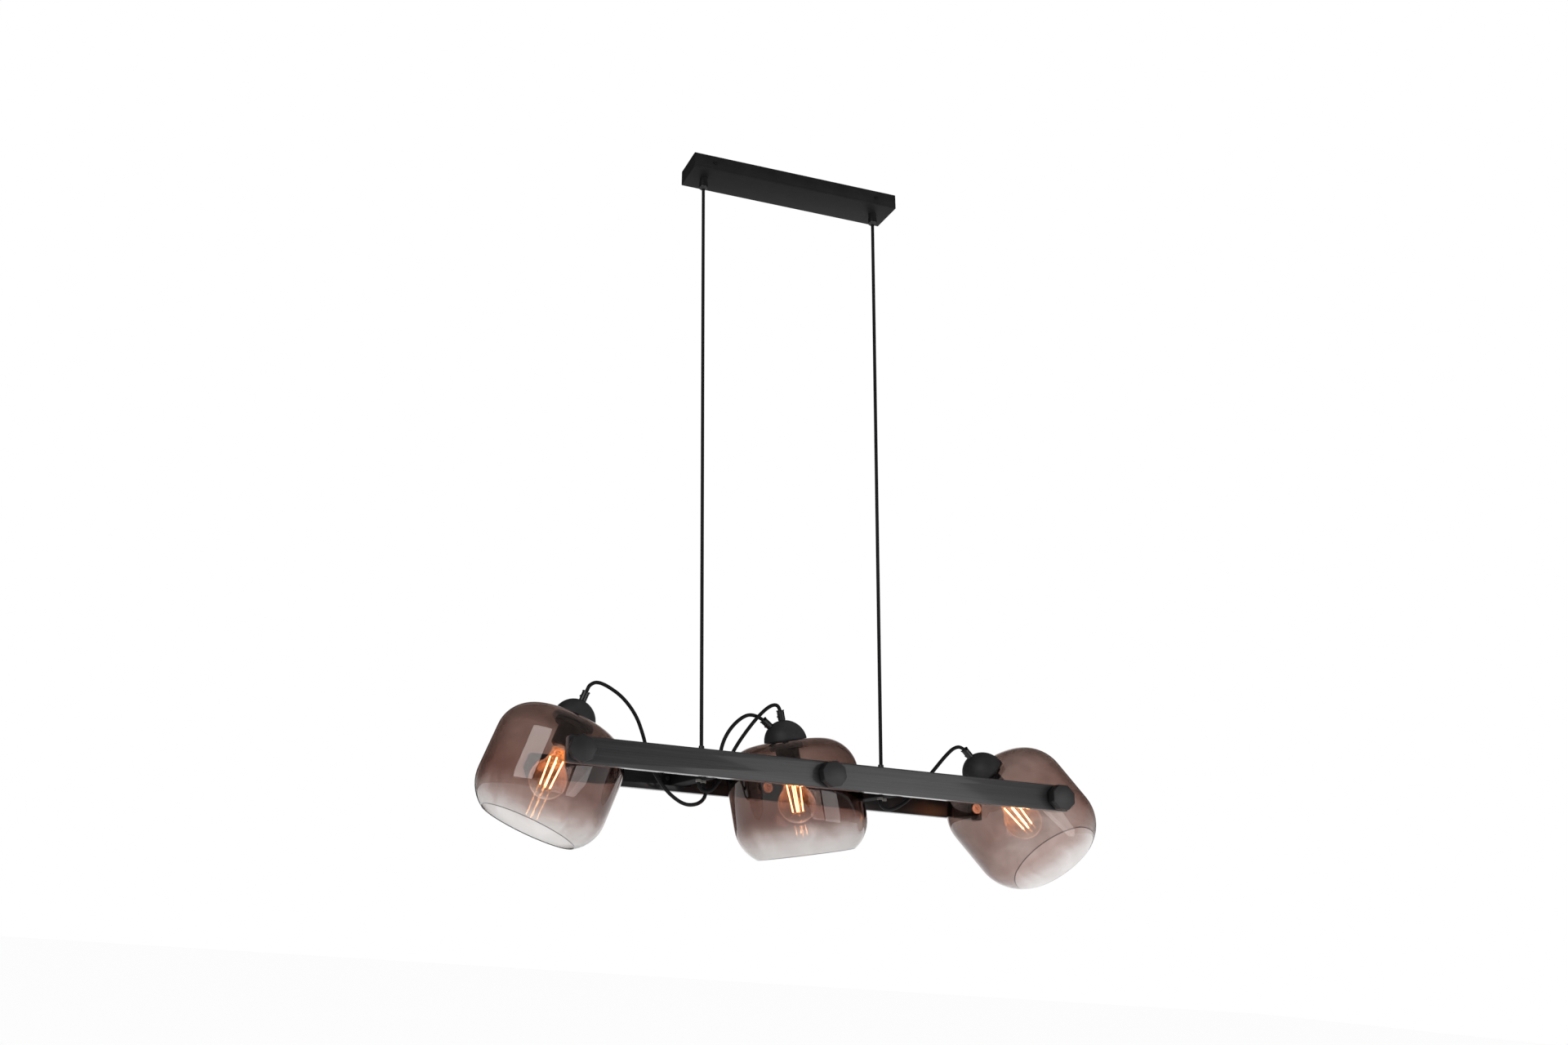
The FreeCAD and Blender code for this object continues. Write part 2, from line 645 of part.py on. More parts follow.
# Lamp cables. Each route is a list of points, across, front to back, and up from the middle of
# the frame, for a crossbar 160 and an end pivot 400 from that middle. Where the bars or crossbars
# stand elsewhere, the points across follow them. Where two runs meet, an arc of 0.45 of the
# shorter run rounds the corner.
DRAWN_CROSSBAR = 160
DRAWN_PIVOT = 400
ROUTES = {
    "cable_left": [(-149.5, 3.6, -30), (-153.5, 3.2, -41), (-166, 2.4, -50), (-187, 1.2, -52),
                   (-211, 0, -39), (-228, 0, -22), (-242, 0, -2), (-252, 0, 23), (-260, 0, 51),
                   (-273, 0, 81), (-296, 0, 107), (-323, 0, 122.5), (-342, 0, 127.5),
                   (-353.3, 0, 120.6)],
    "cable_middle": [(-158, -4, -28.5), (-146, -4, -28), (-134, -5, -16), (-124, -6, 3),
                     (-115, -7, 25), (-102, -7, 49), (-84, -7, 75), (-65, -7, 99),
                     (-46, -5, 117), (-32, -2, 123.5)],
    "cable_link": [(-131, 0, 7), (-128.5, 0, 20), (-127, 0, 38),
                   (-121, 0, 58), (-109, 0, 78), (-92, 0, 95), (-76, 0, 103)],
    "cable_right": [(160.5, -4, -27.5), (171, -3.5, -29.5), (187, -2, -24), (208, -1, -10),
                    (231, 0, 13), (257, 0, 41), (281, 0, 68), (300, 0, 85.5)],
}
LEAD_IN = 9
DOWN = Vector(0, 0, -LEAD_IN)
ACROSS = Vector(LEAD_IN, 0, 0)


def route_point(across, depth, up):
    """A point of a route, moved along with the crossbar and the pivot it lies between."""
    beyond = abs(across) - DRAWN_CROSSBAR
    if beyond > 0:
        reach = (pivot_x - crossbar_x).number / (DRAWN_PIVOT - DRAWN_CROSSBAR)
        across = math.copysign(crossbar_x.number + beyond * reach, across)
    else:
        across = across * crossbar_x.number / DRAWN_CROSSBAR
    return Vector(across, depth, up + bar_z.number)


def head_point(end, across, up):
    """A point given in a head's own directions, in the frame's, for one end of the frame."""
    name = {-1: "tilt_left", 0: "tilt_middle", 1: "tilt_right"}[end]
    tilt = math.radians(size(name).number)
    x = pivot_x.number * end + across * math.cos(tilt) - up * math.sin(tilt)
    z = across * math.sin(tilt) + up * math.cos(tilt)
    return Vector(x, 0, z + bar_z.number)


def rounded_path(name, points):
    """Straight runs joined by arcs."""
    edges = []
    radii = []
    here = points[0]
    for before, corner, after in zip(points, points[1:], points[2:]):
        into, out = corner - before, after - corner
        half_turn = into.getAngle(out) / 2
        setback = 0.45 * min(into.Length, out.Length)
        radii.append(setback / math.tan(half_turn))
        start = corner - into.normalize() * setback
        finish = corner + out.normalize() * setback
        inward = (finish - corner + start - corner).normalize()
        radius = radii[-1]
        middle = corner + inward * (radius / math.cos(half_turn) - radius)
        edges.append(Part.LineSegment(here, start).toShape())
        edges.append(Part.Arc(start, middle, finish).toShape())
        here = finish
    edges.append(Part.LineSegment(here, points[-1]).toShape())
    print(name, "radii", " ".join(f"{radius:.1f}" for radius in radii))
    return Part.Wire(edges)


dome_base = size("shade_crown") + size("gasket_height")
dome_pole = dome_base + size("dome_radius")
grip_mouth = dome_pole + size("dome_grip_height")


def grip_floor(end, angle):
    """The floor of a dome grip's bore and a point just outside it, angle from the pole."""
    lean = math.radians(angle)
    bore = size("grip_bore").number
    places = []
    for far in (0, bore + size("cable_run_out").number):
        reach = (grip_mouth - dome_base).number - bore + far
        places.append(head_point(end, -reach * math.sin(lean),
                                 dome_base.number + reach * math.cos(lean)))
    return places


def lamp_cable(label, end, angle, start, lead_in):
    """One lamp cable, from a crossbar to a dome grip, leaving its start along the lead-in."""
    floor, outside = grip_floor(end, angle)
    points = [start, start + lead_in, *(route_point(*point) for point in ROUTES[label]),
              outside, floor]
    run = tube(label + "_tube", rounded_path(label, points), size("cord_radius").number)
    sub_part(label, group(label + "_run", run))


# Heads. Every piece of a head is made upright about its pivot and then hung on the frame, tilted
# about the pivot's axis.
def hang(label, end, thing):
    """Hang one piece of a head at its pivot. End is -1, 0 or 1 along the bars."""
    prefix, tilt = {-1: ("left", "tilt_left"), 0: ("middle", "tilt_middle"),
                    1: ("right", "tilt_right")}[end]
    turn = f"rotation(vector(0; -1; 0); {size(tilt).text})"
    place(thing, pivot_x * end, 0, bar_z, turn)
    return sub_part(f"{prefix}_{label}", thing)


barrel = bar_inner - size("shade_clearance")


def glass_shade(end):
    """Blown glass with a flat crown, a round shoulder, a straight barrel and a drawn-in mouth."""
    wall = size("glass_wall")
    radius, crown = barrel, size("shade_crown")
    shoulder = size("shade_shoulder")
    crown_edge = radius - shoulder
    shoulder_z = crown - shoulder
    barrel_end = -size("shade_barrel_end")
    mouth_z = -size("shade_mouth")
    narrowing, fall = size("mouth_narrowing"), barrel_end - mouth_z
    mouth_edge = radius - narrowing
    curve = (narrowing * narrowing + fall * fall) / (narrowing * 2)
    centre = radius - curve
    hole = size("holder_radius") + size("holder_fit")
    rim_in = centre + root((curve - wall) * (curve - wall) - fall * fall)
    outline = [(hole, crown), (crown_edge, crown), (radius, shoulder_z),
               (radius, barrel_end), (mouth_edge, mouth_z), (rim_in, mouth_z),
               (radius - wall, barrel_end), (radius - wall, shoulder_z),
               (crown_edge, crown - wall), (hole, crown - wall)]
    arcs = [(1, shoulder, crown_edge, shoulder_z), (3, curve, centre, barrel_end),
            (5, curve - wall, centre, barrel_end),
            (7, shoulder - wall, crown_edge, shoulder_z)]
    blown = turned(f"shade_blown{end + 1}", outline, arcs)
    pivot = rod(f"shade_pivot{end + 1}", size("bolt_radius") + size("glass_hole_gap"),
                radius * 2.4, 0, radius * -1.2, 0, "y")
    hang("glass_shade", end, cut(f"shade_drilled{end + 1}", blown, pivot))


def shade_gasket(end):
    hole = size("holder_radius") + size("holder_fit")
    ring = flat_ring(f"gasket{end + 1}", hole, size("dome_radius") + size("gasket_overhang"),
                     size("shade_crown"), dome_base)
    hang("shade_gasket", end, ring)


def side_turn():
    """The turn of the middle dome's second grip, away from the pole."""
    return f"rotation(vector(0; -1; 0); {size('side_grip_angle').text})"


def dome_cap(end):
    """A pressed half ball. The middle one has a second hole for its side grip."""
    outer = ball(f"dome_outer{end + 1}", size("dome_radius"), dome_base, 0)
    inner = ball(f"dome_inner{end + 1}", size("dome_radius") - size("dome_wall"), dome_base)
    hole = size("dome_grip_stem") + size("stem_gap")
    tools = [inner, rod(f"dome_hole{end + 1}", hole, size("dome_radius") * 2, 0, 0, dome_base)]
    if end == 0:
        side = rod("dome_side_hole", hole, size("dome_radius") * 2)
        tools.append(place(side, 0, 0, dome_base, side_turn()))
    hang("dome_cap", end, cut(f"dome{end + 1}", outer, *tools))


def grip_piece(name, stem):
    """A forked cord grip and its clamping screw, standing on the dome. Stem is its length."""
    radius = size("dome_grip_radius")
    mouth = size("dome_radius") + size("dome_grip_height")
    lip = size("grip_lip")
    shape = turned(name + "_turned", [
        (as_size(0), size("dome_radius") - stem), (size("dome_grip_stem"),
                                                   size("dome_radius") - stem),
        (size("dome_grip_stem"), size("dome_radius")), (radius, size("dome_radius")),
        (radius, mouth - lip * 3), (radius + lip, mouth - lip * 2), (radius + lip, mouth),
        (as_size(0), mouth)])
    bore = rod(name + "_bore", cord_bore, size("grip_bore") + margin, 0, 0,
               mouth - size("grip_bore"))
    notch = doc.addObject("Part::Box", name + "_notch")
    edge = size("grip_notch") * 2 / math.sqrt(2)
    bind(notch, "Length", edge)
    bind(notch, "Width", radius * 4)
    bind(notch, "Height", edge)
    place(notch, -size("grip_notch"), radius * -2, mouth, "rotation(vector(0; 1; 0); 45)")
    level = mouth - size("grip_bore") - size("clamp_screw_radius") * 1.5
    depth = radius * 0.5
    tap = rod(name + "_tap", size("clamp_screw_radius") + size("bore_gap") / 4, radius * 2,
              -radius * 2 - depth, 0, level, "x")
    body = cut(name + "_cut", shape, bore, notch, tap)
    screw = rod(name + "_screw", size("clamp_screw_radius"), size("clamp_screw_length"),
                -depth - size("clamp_screw_length"), 0, level, "x")
    return [body, screw]


def cord_grip(end):
    """The dome's grip at the pole, whose stem holds the lampholder, and the middle's side grip."""
    stem = dome_pole - size("holder_top")
    top = group(f"pole_grip{end + 1}", *grip_piece(f"pole_grip{end + 1}", stem))
    pieces = [place(top, 0, 0, dome_base)]
    if end == 0:
        side = group("side_grip", *grip_piece("side_grip", size("dome_wall") * 2))
        pieces.append(place(side, 0, 0, dome_base, side_turn()))
    hang("cord_grip", end, group(f"grip_set{end + 1}", *pieces))


def lampholder(end):
    """A screw-cap lampholder: flange above the glass, threaded skirt below, neck in the dome."""
    tag = end + 1
    skirt = rod(f"holder_skirt{tag}", size("holder_radius"), dome_base - size("holder_bottom"),
                0, 0, size("holder_bottom"))
    flange = rod(f"holder_flange{tag}", size("holder_flange"), size("holder_flange_height"),
                 0, 0, dome_base)
    neck = rod(f"holder_neck{tag}", size("holder_neck"), size("holder_top") - dome_base,
               0, 0, dome_base)
    socket = rod(f"holder_socket{tag}", size("cap_radius") + size("thread_gap"),
                 size("cap_tip_top") - size("holder_bottom"), 0, 0, size("holder_bottom"))
    hang("lampholder", end, cut(f"holder{tag}", fuse(f"holder_solid{tag}", skirt, flange, neck),
                                socket))


def shade_ring(end):
    under = size("shade_crown") - size("glass_wall")
    ring = flat_ring(f"ring{end + 1}", size("holder_radius") + size("ring_gap"),
                     size("ring_radius"), under - size("ring_height"), under)
    hang("shade_ring", end, ring)


def bulb(end):
    """A clear filament lamp: glass envelope, screw cap and four filaments on a stem's arms."""
    tag = end + 1
    wall = size("bulb_wall")
    centre = -size("bulb_centre")
    neck, top = size("bulb_neck"), size("bulb_neck_top")
    shoulder = size("bulb_shoulder")

    def envelope(name, inset, extra):
        radius = size("bulb_radius") - inset
        waist = neck - inset
        join = radius * 0.8
        pieces = [ball(name + "_globe", radius, centre)]
        cone = doc.addObject("Part::Cone", name + "_cone")
        bind(cone, "Radius1", join)
        bind(cone, "Radius2", waist)
        bind(cone, "Height", shoulder - centre - radius * 0.6)
        pieces.append(place(cone, 0, 0, centre + radius * 0.6))
        pieces.append(rod(name + "_neck", waist, top - shoulder + extra, 0, 0, shoulder))
        return fuse(name, *pieces)

    glass = cut(f"bulb_blown{tag}", envelope(f"bulb_outer{tag}", 0, 0),
                envelope(f"bulb_inner{tag}", wall, margin))
    hang("bulb_glass", end, glass)
    cap = turned(f"bulb_cap_turned{tag}", [
        (as_size(0), top), (size("cap_rim"), top), (size("cap_rim"), top + size("cap_rim_height")),
        (size("cap_radius"), top + size("cap_rim_height") + size("cap_rim_slope")),
        (size("cap_radius"), size("cap_top")),
        (size("cap_tip_radius"), size("cap_tip_top")), (as_size(0), size("cap_tip_top"))])
    hang("bulb_cap", end, group(f"bulb_cap{tag}", cap))
    pillar = rod(f"bulb_pillar{tag}", size("stem_glass_radius"), top + size("stem_glass_end"),
                 0, 0, -size("stem_glass_end"))
    spread = size("filament_bottom_spread") - size("filament_top_spread")
    drop = size("filament_bottom") - size("filament_top")
    sticks = [pillar]
    for count in range(4):
        bearing = f"rotation(vector(0; 0; 1); {90 * count})"
        arm = rod(f"bulb_arm{tag}{count}", size("filament_arm_radius"),
                  size("filament_top_spread"), 0, 0, 0, "x")
        place(arm, 0, 0, -size("filament_top") - size("filament_arm_radius"),
              bearing + " * " + TURNS["x"])
        sticks.append(arm)
        stick = doc.addObject("Part::Cylinder", f"bulb_stick{tag}{count}")
        bind(stick, "Radius", size("filament_radius"))
        bind(stick, "Height", root(spread * spread + drop * drop))
        lean = f"rotation(vector(0; 1; 0); 180 deg - atan({spread.text} / {drop.text}))"
        stick.setExpression("Placement", f"placement(vector(0; 0; 0); {bearing}) * placement("
                            f"vector({size('filament_top_spread').text}; 0; "
                            f"-1 * {size('filament_top').text}); {lean})")
        sticks.append(stick)
    hang("bulb_filaments", end, fuse(f"bulb_light{tag}", *sticks))


def pivots(end):
    """At each end of the pivot: a bolt from inside the glass, two rubber washers and a knob."""
    tag = end + 1
    outside, inside = barrel, barrel - size("glass_wall")
    hole = size("bolt_radius") + size("ring_gap")
    drum = size("washer_radius") * 4
    glass_out = rod(f"washer_drum{tag}", outside + size("seat_gap"), drum, 0, 0, drum * -0.5)
    outer = rod(f"washer_outer{tag}", size("washer_radius"),
                bar_inner - size("turning_gap") - inside, 0, inside, 0, "y")
    hole_rod = rod(f"washer_hole{tag}", hole, bar_inner, 0, 0, 0, "y")
    outer_ring = cut(f"washer_outer_cut{tag}", outer, glass_out, hole_rod)
    head_face = inside - size("washer_height")
    inner_drum = rod(f"washer_core{tag}", inside - size("seat_gap"), drum, 0, 0, drum * -0.5)
    inner = rod(f"washer_inner{tag}", size("washer_radius"), size("washer_height") * 2,
                0, head_face, 0, "y")
    inner_ring = cut(f"washer_inner_cut{tag}", shared(f"washer_inner_fit{tag}", inner,
                                                      inner_drum), hole_rod)
    washers = [outer_ring, inner_ring]
    washers += [mirrored(f"washer_front{tag}{count}", washer, ALONG_Y)
                for count, washer in enumerate(washers[:2])]
    hang("pivot_washers", end, group(f"washer_set{tag}", *washers))

    shank = rod(f"bolt_shank{tag}", size("bolt_radius"),
                bar_outer + size("bolt_reach") - head_face, 0, head_face, 0, "y")
    head_foot = head_face - size("bolt_head_height")
    head = rod(f"bolt_head{tag}", size("bolt_head_radius"), size("bolt_head_height"),
               0, head_foot, 0, "y")
    slots = [block(f"bolt_slot{tag}a", size("recess_length"), size("recess_depth") * 2,
                   size("recess_width"), 0, head_foot, size("recess_width") / -2),
             block(f"bolt_slot{tag}b", size("recess_width"), size("recess_depth") * 2,
                   size("recess_length"), 0, head_foot, size("recess_length") / -2)]
    bolt = cut(f"bolt{tag}", fuse(f"bolt_solid{tag}", shank, head), *slots)
    hang("pivot_bolts", end, group(f"bolt_set{tag}", bolt,
                                   mirrored(f"bolt_front{tag}", bolt, ALONG_Y)))

    octagon = doc.addObject("Part::Prism", f"knob_octagon{tag}")
    octagon.Polygon = 8
    bind(octagon, "Circumradius", size("knob_width") / (2 * math.cos(math.pi / 8)))
    bind(octagon, "Height", size("knob_height"))
    face = bar_outer + size("knob_neck")
    place(octagon, 0, face, 0, TURNS["y"] + " * rotation(vector(0; 0; 1); 22.5)")
    half = size("knob_width") / (2 * math.cos(math.pi / 8))
    bevel = size("knob_chamfer")
    soft = turned(f"knob_soft{tag}", [
        (as_size(0), as_size(0)), (half - bevel * 0.5, as_size(0)), (half, bevel * 0.5),
        (half, size("knob_height") - bevel), (half - bevel, size("knob_height")),
        (as_size(0), size("knob_height"))])
    place(soft, 0, face, 0, TURNS["y"])
    grip = shared(f"knob_grip{tag}", octagon, soft)
    neck = rod(f"knob_neck{tag}", size("knob_neck_radius"),
               size("knob_neck") - size("turning_gap"), 0, bar_outer + size("turning_gap"), 0, "y")
    bore = rod(f"knob_bore{tag}", hole, size("bolt_reach") + size("ring_gap"), 0, bar_outer,
               0, "y")
    knob = cut(f"knob{tag}", fuse(f"knob_solid{tag}", grip, neck), bore)
    hang("knobs", end, group(f"knob_pair{tag}", knob,
                             mirrored(f"knob_front{tag}", knob, ALONG_Y)))


canopy_shell()
mounting_bracket()
canopy_side_screws()
terminal_block()
canopy_cord_grips()
canopy_grip_nuts()
canopy_leads()
bar("front_bar", -1)
bar("back_bar", 1)
crossbar("crossbar_left", -1)
crossbar("crossbar_right", 1)
crossbar_screws()
suspension_grips()
outlet_nipples()
crossbar_grommet()
crossbar_splices()
suspension_cord("suspension_cord_left", -1)
suspension_cord("suspension_cord_right", 1)
lamp_cable("cable_left", -1, 0, nipple_floor(-1, 1), DOWN)
lamp_cable("cable_middle", 0, 0, nipple_floor(-1, -1), DOWN)
lamp_cable("cable_link", 0, size("side_grip_angle").number,
           Vector(grommet_face.number, 0, bar_z.number), ACROSS)
lamp_cable("cable_right", 1, 0, nipple_floor(1, -1), DOWN)
for end in (-1, 0, 1):
    glass_shade(end)
    shade_gasket(end)
    dome_cap(end)
    cord_grip(end)
    lampholder(end)
    shade_ring(end)
    bulb(end)
    pivots(end)

doc.recompute()
for thing in doc.Objects:
    if "Invalid" in thing.State or "Error" in thing.State:
        raise RuntimeError(f"{thing.Name} failed: {thing.State}")
for thing in sub_parts:
    if thing.Shape.isNull() or not thing.Shape.isValid() or not thing.Shape.Solids:
        raise RuntimeError(f"{thing.Label} has no sound shape")
for thing in sub_parts:
    thing.Shape.exportStep(f"parts/{thing.Label}.step")
print(len(sub_parts), "sub-parts written")
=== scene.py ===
import math

import bmesh
import bpy
from mathutils import Matrix, Vector


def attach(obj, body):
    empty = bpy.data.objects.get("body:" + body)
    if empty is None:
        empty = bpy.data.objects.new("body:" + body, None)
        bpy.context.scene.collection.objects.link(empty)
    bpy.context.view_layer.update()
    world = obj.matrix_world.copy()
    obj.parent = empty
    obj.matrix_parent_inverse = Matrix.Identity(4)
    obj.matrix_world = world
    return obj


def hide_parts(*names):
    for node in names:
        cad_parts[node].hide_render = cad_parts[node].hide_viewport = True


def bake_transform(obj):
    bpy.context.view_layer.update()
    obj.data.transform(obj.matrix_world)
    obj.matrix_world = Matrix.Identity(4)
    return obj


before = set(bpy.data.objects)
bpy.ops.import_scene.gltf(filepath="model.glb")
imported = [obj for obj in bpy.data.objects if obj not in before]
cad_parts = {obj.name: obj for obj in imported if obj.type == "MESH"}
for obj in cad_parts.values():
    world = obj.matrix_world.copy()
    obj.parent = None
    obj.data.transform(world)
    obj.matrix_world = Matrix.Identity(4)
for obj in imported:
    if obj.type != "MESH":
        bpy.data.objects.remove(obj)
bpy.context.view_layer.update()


# Studio: the camera stands low in front of the left end and looks up at the pendant, as the
# photographer did. Background and floor show plain white, and three soft lights are out of sight.
CAMERA_PLACE = (-0.9009, -1.87324, -1.39077)
camera = bpy.data.objects.new("camera", bpy.data.cameras.new("camera"))
bpy.context.collection.objects.link(camera)
bpy.context.scene.camera = camera
camera.data.sensor_width = 36
camera.data.lens = 28.004
camera.data.shift_x = 0.1565
camera.data.shift_y = -0.0276
heading, lift, roll = math.radians(13.227), math.radians(20.070), math.radians(3.981)
ahead = Vector((math.sin(heading) * math.cos(lift), math.cos(heading) * math.cos(lift),
                math.sin(lift)))
level = Vector((math.cos(heading), -math.sin(heading), 0))
upright = level.cross(ahead)
camera_x = math.cos(roll) * level + math.sin(roll) * upright
camera_y = math.cos(roll) * upright - math.sin(roll) * level
camera.matrix_world = (Matrix.Translation(CAMERA_PLACE)
                       @ Matrix((camera_x, camera_y, -ahead)).transposed().to_4x4())
bpy.context.scene.view_settings.view_transform = "Standard"


def blank_material(name):
    """A new material, with its nodes, their links and its main shader."""
    material = bpy.data.materials.new(name)
    material.use_nodes = True
    nodes = material.node_tree.nodes
    return material, nodes, material.node_tree.links, nodes["Principled BSDF"]


def feed(links, node, values):
    """Give a node's inputs, by label or number, a value or another node's output each."""
    for label, value in values.items():
        if isinstance(value, bpy.types.NodeSocket):
            links.new(value, node.inputs[label])
        else:
            node.inputs[label].default_value = value


def calculate(nodes, links, operation, *values):
    """One sum in a material. A value is a number or another node's output."""
    step = nodes.new("ShaderNodeMath")
    step.operation = operation
    feed(links, step, dict(enumerate(values)))
    return step.outputs[0]


def ramped(nodes, links, value, low, high, first=0.0, last=1.0):
    """A value carried over smoothly from one range to another."""
    carry = nodes.new("ShaderNodeMapRange")
    carry.interpolation_type = "SMOOTHSTEP"
    feed(links, carry, {"Value": value, "From Min": low, "From Max": high, "To Min": first,
                        "To Max": last})
    return carry.outputs["Result"]


# Polished surfaces mirror a bright backdrop only behind the pendant, and a dim room elsewhere.
# Dull surfaces get a weak fill, more of it from behind.
BACKDROP_DIRECTION = (0.428, 0.893, 0.14)
room = bpy.data.worlds.new("white_room")
room.use_nodes = True
bpy.context.scene.world = room
nodes, links = room.node_tree.nodes, room.node_tree.links
path = nodes.new("ShaderNodeLightPath")
gaze = nodes.new("ShaderNodeTexCoord")
towards = nodes.new("ShaderNodeSeparateXYZ")
links.new(gaze.outputs["Generated"], towards.inputs[0])
inwards = nodes.new("ShaderNodeVectorMath")
inwards.operation = "DOT_PRODUCT"
feed(links, inwards, {0: gaze.outputs["Generated"], 1: BACKDROP_DIRECTION})
backdrop = ramped(nodes, links, inwards.outputs["Value"], 0.93, 0.985, 0.05, 1.0)
shine = calculate(nodes, links, "MULTIPLY", path.outputs["Is Glossy Ray"], backdrop)
straight = calculate(nodes, links, "MAXIMUM", path.outputs["Is Camera Ray"],
                     path.outputs["Is Transmission Ray"])
seen = calculate(nodes, links, "MAXIMUM", straight, shine)
fill = ramped(nodes, links, towards.outputs["Y"], -0.8, 0.8, 0.2, 0.6)
fill = calculate(nodes, links, "MULTIPLY", fill, path.outputs["Is Diffuse Ray"])
feed(links, nodes["Background"], {"Color": (1, 1, 1, 1),
                                  "Strength": calculate(nodes, links, "MAXIMUM", seen, fill)})

# The floor glows for the camera, so that it shows white, but lights the pendant only weakly.
FLOOR_HEIGHT, FLOOR_HALF_WIDTH = -1.9, 14
FLOOR_SEEN, FLOOR_GIVEN = 0.84, 0.1
floor_shape = bmesh.new()
bmesh.ops.create_grid(floor_shape, x_segments=2, y_segments=2, size=FLOOR_HALF_WIDTH)
bmesh.ops.translate(floor_shape, vec=(0, 0, FLOOR_HEIGHT), verts=floor_shape.verts[:])
floor_mesh = bpy.data.meshes.new("floor")
floor_shape.to_mesh(floor_mesh)
floor_shape.free()
floor = bpy.data.objects.new("floor", floor_mesh)
bpy.context.collection.objects.link(floor)
floor_paint, nodes, links, shader = blank_material("floor_paint")
path = nodes.new("ShaderNodeLightPath")
glow = calculate(nodes, links, "MULTIPLY_ADD", path.outputs["Is Diffuse Ray"],
                 FLOOR_GIVEN - FLOOR_SEEN, FLOOR_SEEN)
feed(links, shader, {"Base Color": (0.34, 0.34, 0.34, 1), "Roughness": 1,
                     "Specular IOR Level": 0, "Emission Color": (1, 1, 1, 1),
                     "Emission Strength": glow})
floor_mesh.materials.append(floor_paint)


LIGHTS_AIM = Vector((-0.2, 0, -1.15))


def softbox(name, place, width, height, power, lights=True, shines=True):
    """A soft light aimed near the middle of the bars. It may be left out of the dull light or of
    the mirrored light."""
    light = bpy.data.lights.new(name, "AREA")
    light.shape = "RECTANGLE"
    light.size, light.size_y = width, height
    light.energy = power
    lamp = bpy.data.objects.new(name, light)
    lamp.location = place
    aim = LIGHTS_AIM - lamp.location
    lamp.rotation_euler = aim.to_track_quat("-Z", "Y").to_euler()
    lamp.visible_camera = False
    lamp.visible_diffuse = lights
    lamp.visible_glossy = shines
    bpy.context.collection.objects.link(lamp)


softbox("left_softbox", (-2.4, -1.8, 0.2), 1.7, 1.3, 34, lights=False)
softbox("right_softbox", (1.6, -2.6, -0.95), 1.5, 1.2, 16)
softbox("front_fill", (0.4, -4.2, -0.9), 1.6, 1.2, 66, shines=False)


# Canopy: a slim cover folded from 1.2 mm sheet steel and enamelled black. It is open towards the
# ceiling, and four screws in its long sides hold it on the mounting bracket.
CANOPY_LENGTH, CANOPY_WIDTH, CANOPY_DEPTH = 420, 70, 30
CANOPY_SHEET = 0.0012


def moved(shape, matrix):
    """The same shape, turned and shifted."""
    bmesh.ops.transform(shape, matrix=matrix, verts=shape.verts[:])
    return shape


def brick(length, width, height, x=0, y=0, z=0):
    """A box about a middle point, in millimetres."""
    shape = bmesh.new()
    bmesh.ops.create_cube(shape, size=1)
    bmesh.ops.scale(shape, vec=(length, width, height), verts=shape.verts[:])
    shape.normal_update()
    return moved(shape, Matrix.Translation((x, y, z)))


def soften(shape, edges, radius, segments=3):
    """Round off some edges."""
    bmesh.ops.bevel(shape, geom=edges, offset=radius, segments=segments, profile=0.5,
                    affect="EDGES", material=-1, offset_type="OFFSET", clamp_overlap=True)
    shape.normal_update()
    return shape


def sharp_edges(shape):
    """The edges where two faces meet at more than about 40 degrees."""
    return [edge for edge in shape.edges
            if len(edge.link_faces) == 2 and edge.calc_face_angle() > 0.7]


def edges_along(shape, axis):
    """The edges that run more than 1 mm along an axis, 0 to 2 for X to Z."""
    return [edge for edge in shape.edges
            if abs((edge.verts[0].co - edge.verts[1].co)[axis]) > 1]


def gather(*shapes):
    """Several shapes put into one."""
    whole = bmesh.new()
    for shape in shapes:
        leaf = bpy.data.meshes.new("leaf")
        shape.to_mesh(leaf)
        whole.from_mesh(leaf)
        bpy.data.meshes.remove(leaf)
        shape.free()
    return whole


def pendant_piece(name, shape, body, slot, finishes, *nodes, crease=35):
    """Make a shape in millimetres a piece in metres that rides on a body and replaces nodes."""
    bmesh.ops.remove_doubles(shape, verts=shape.verts[:], dist=0.002)
    bmesh.ops.recalc_face_normals(shape, faces=shape.faces[:])
    bmesh.ops.scale(shape, vec=(0.001, 0.001, 0.001), verts=shape.verts[:])
    mesh = bpy.data.meshes.new(name)
    shape.to_mesh(mesh)
    shape.free()
    mesh.shade_smooth()
    mesh.set_sharp_from_angle(angle=math.radians(crease))
    for finish in finishes:
        mesh.materials.append(finish)
    piece = bpy.data.objects.new(name, mesh)
    bpy.context.collection.objects.link(piece)
    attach(piece, body)
    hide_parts(*nodes)
    return piece


def noise(nodes, links, place, scale, **others):
    """A noise pattern over a place's coordinates. The others are its inputs in small letters."""
    pattern = nodes.new("ShaderNodeTexNoise")
    feed(links, pattern, {"Vector": place, "Scale": scale})
    feed(links, pattern, {label.capitalize(): value for label, value in others.items()})
    return pattern.outputs["Fac"]


# Every painted, moulded or rolled surface drifts a little in colour and gloss, has a fine grain,
# and holds some dust where it faces up.
DUST_COLOUR = (0.24, 0.23, 0.21, 1)
drifting = bpy.data.node_groups.new("drifting_surface", "ShaderNodeTree")
for label, kind in (("Color", "NodeSocketColor"), ("Spread", "NodeSocketFloat"),
                    ("Roughness", "NodeSocketFloat"), ("Grain", "NodeSocketFloat"),
                    ("Dust", "NodeSocketFloat")):
    drifting.interface.new_socket(label, in_out="INPUT", socket_type=kind)
for label, kind in (("Color", "NodeSocketColor"), ("Roughness", "NodeSocketFloat"),
                    ("Height", "NodeSocketFloat")):
    drifting.interface.new_socket(label, in_out="OUTPUT", socket_type=kind)
nodes, links = drifting.nodes, drifting.links
asked = nodes.new("NodeGroupInput")
given = nodes.new("NodeGroupOutput")
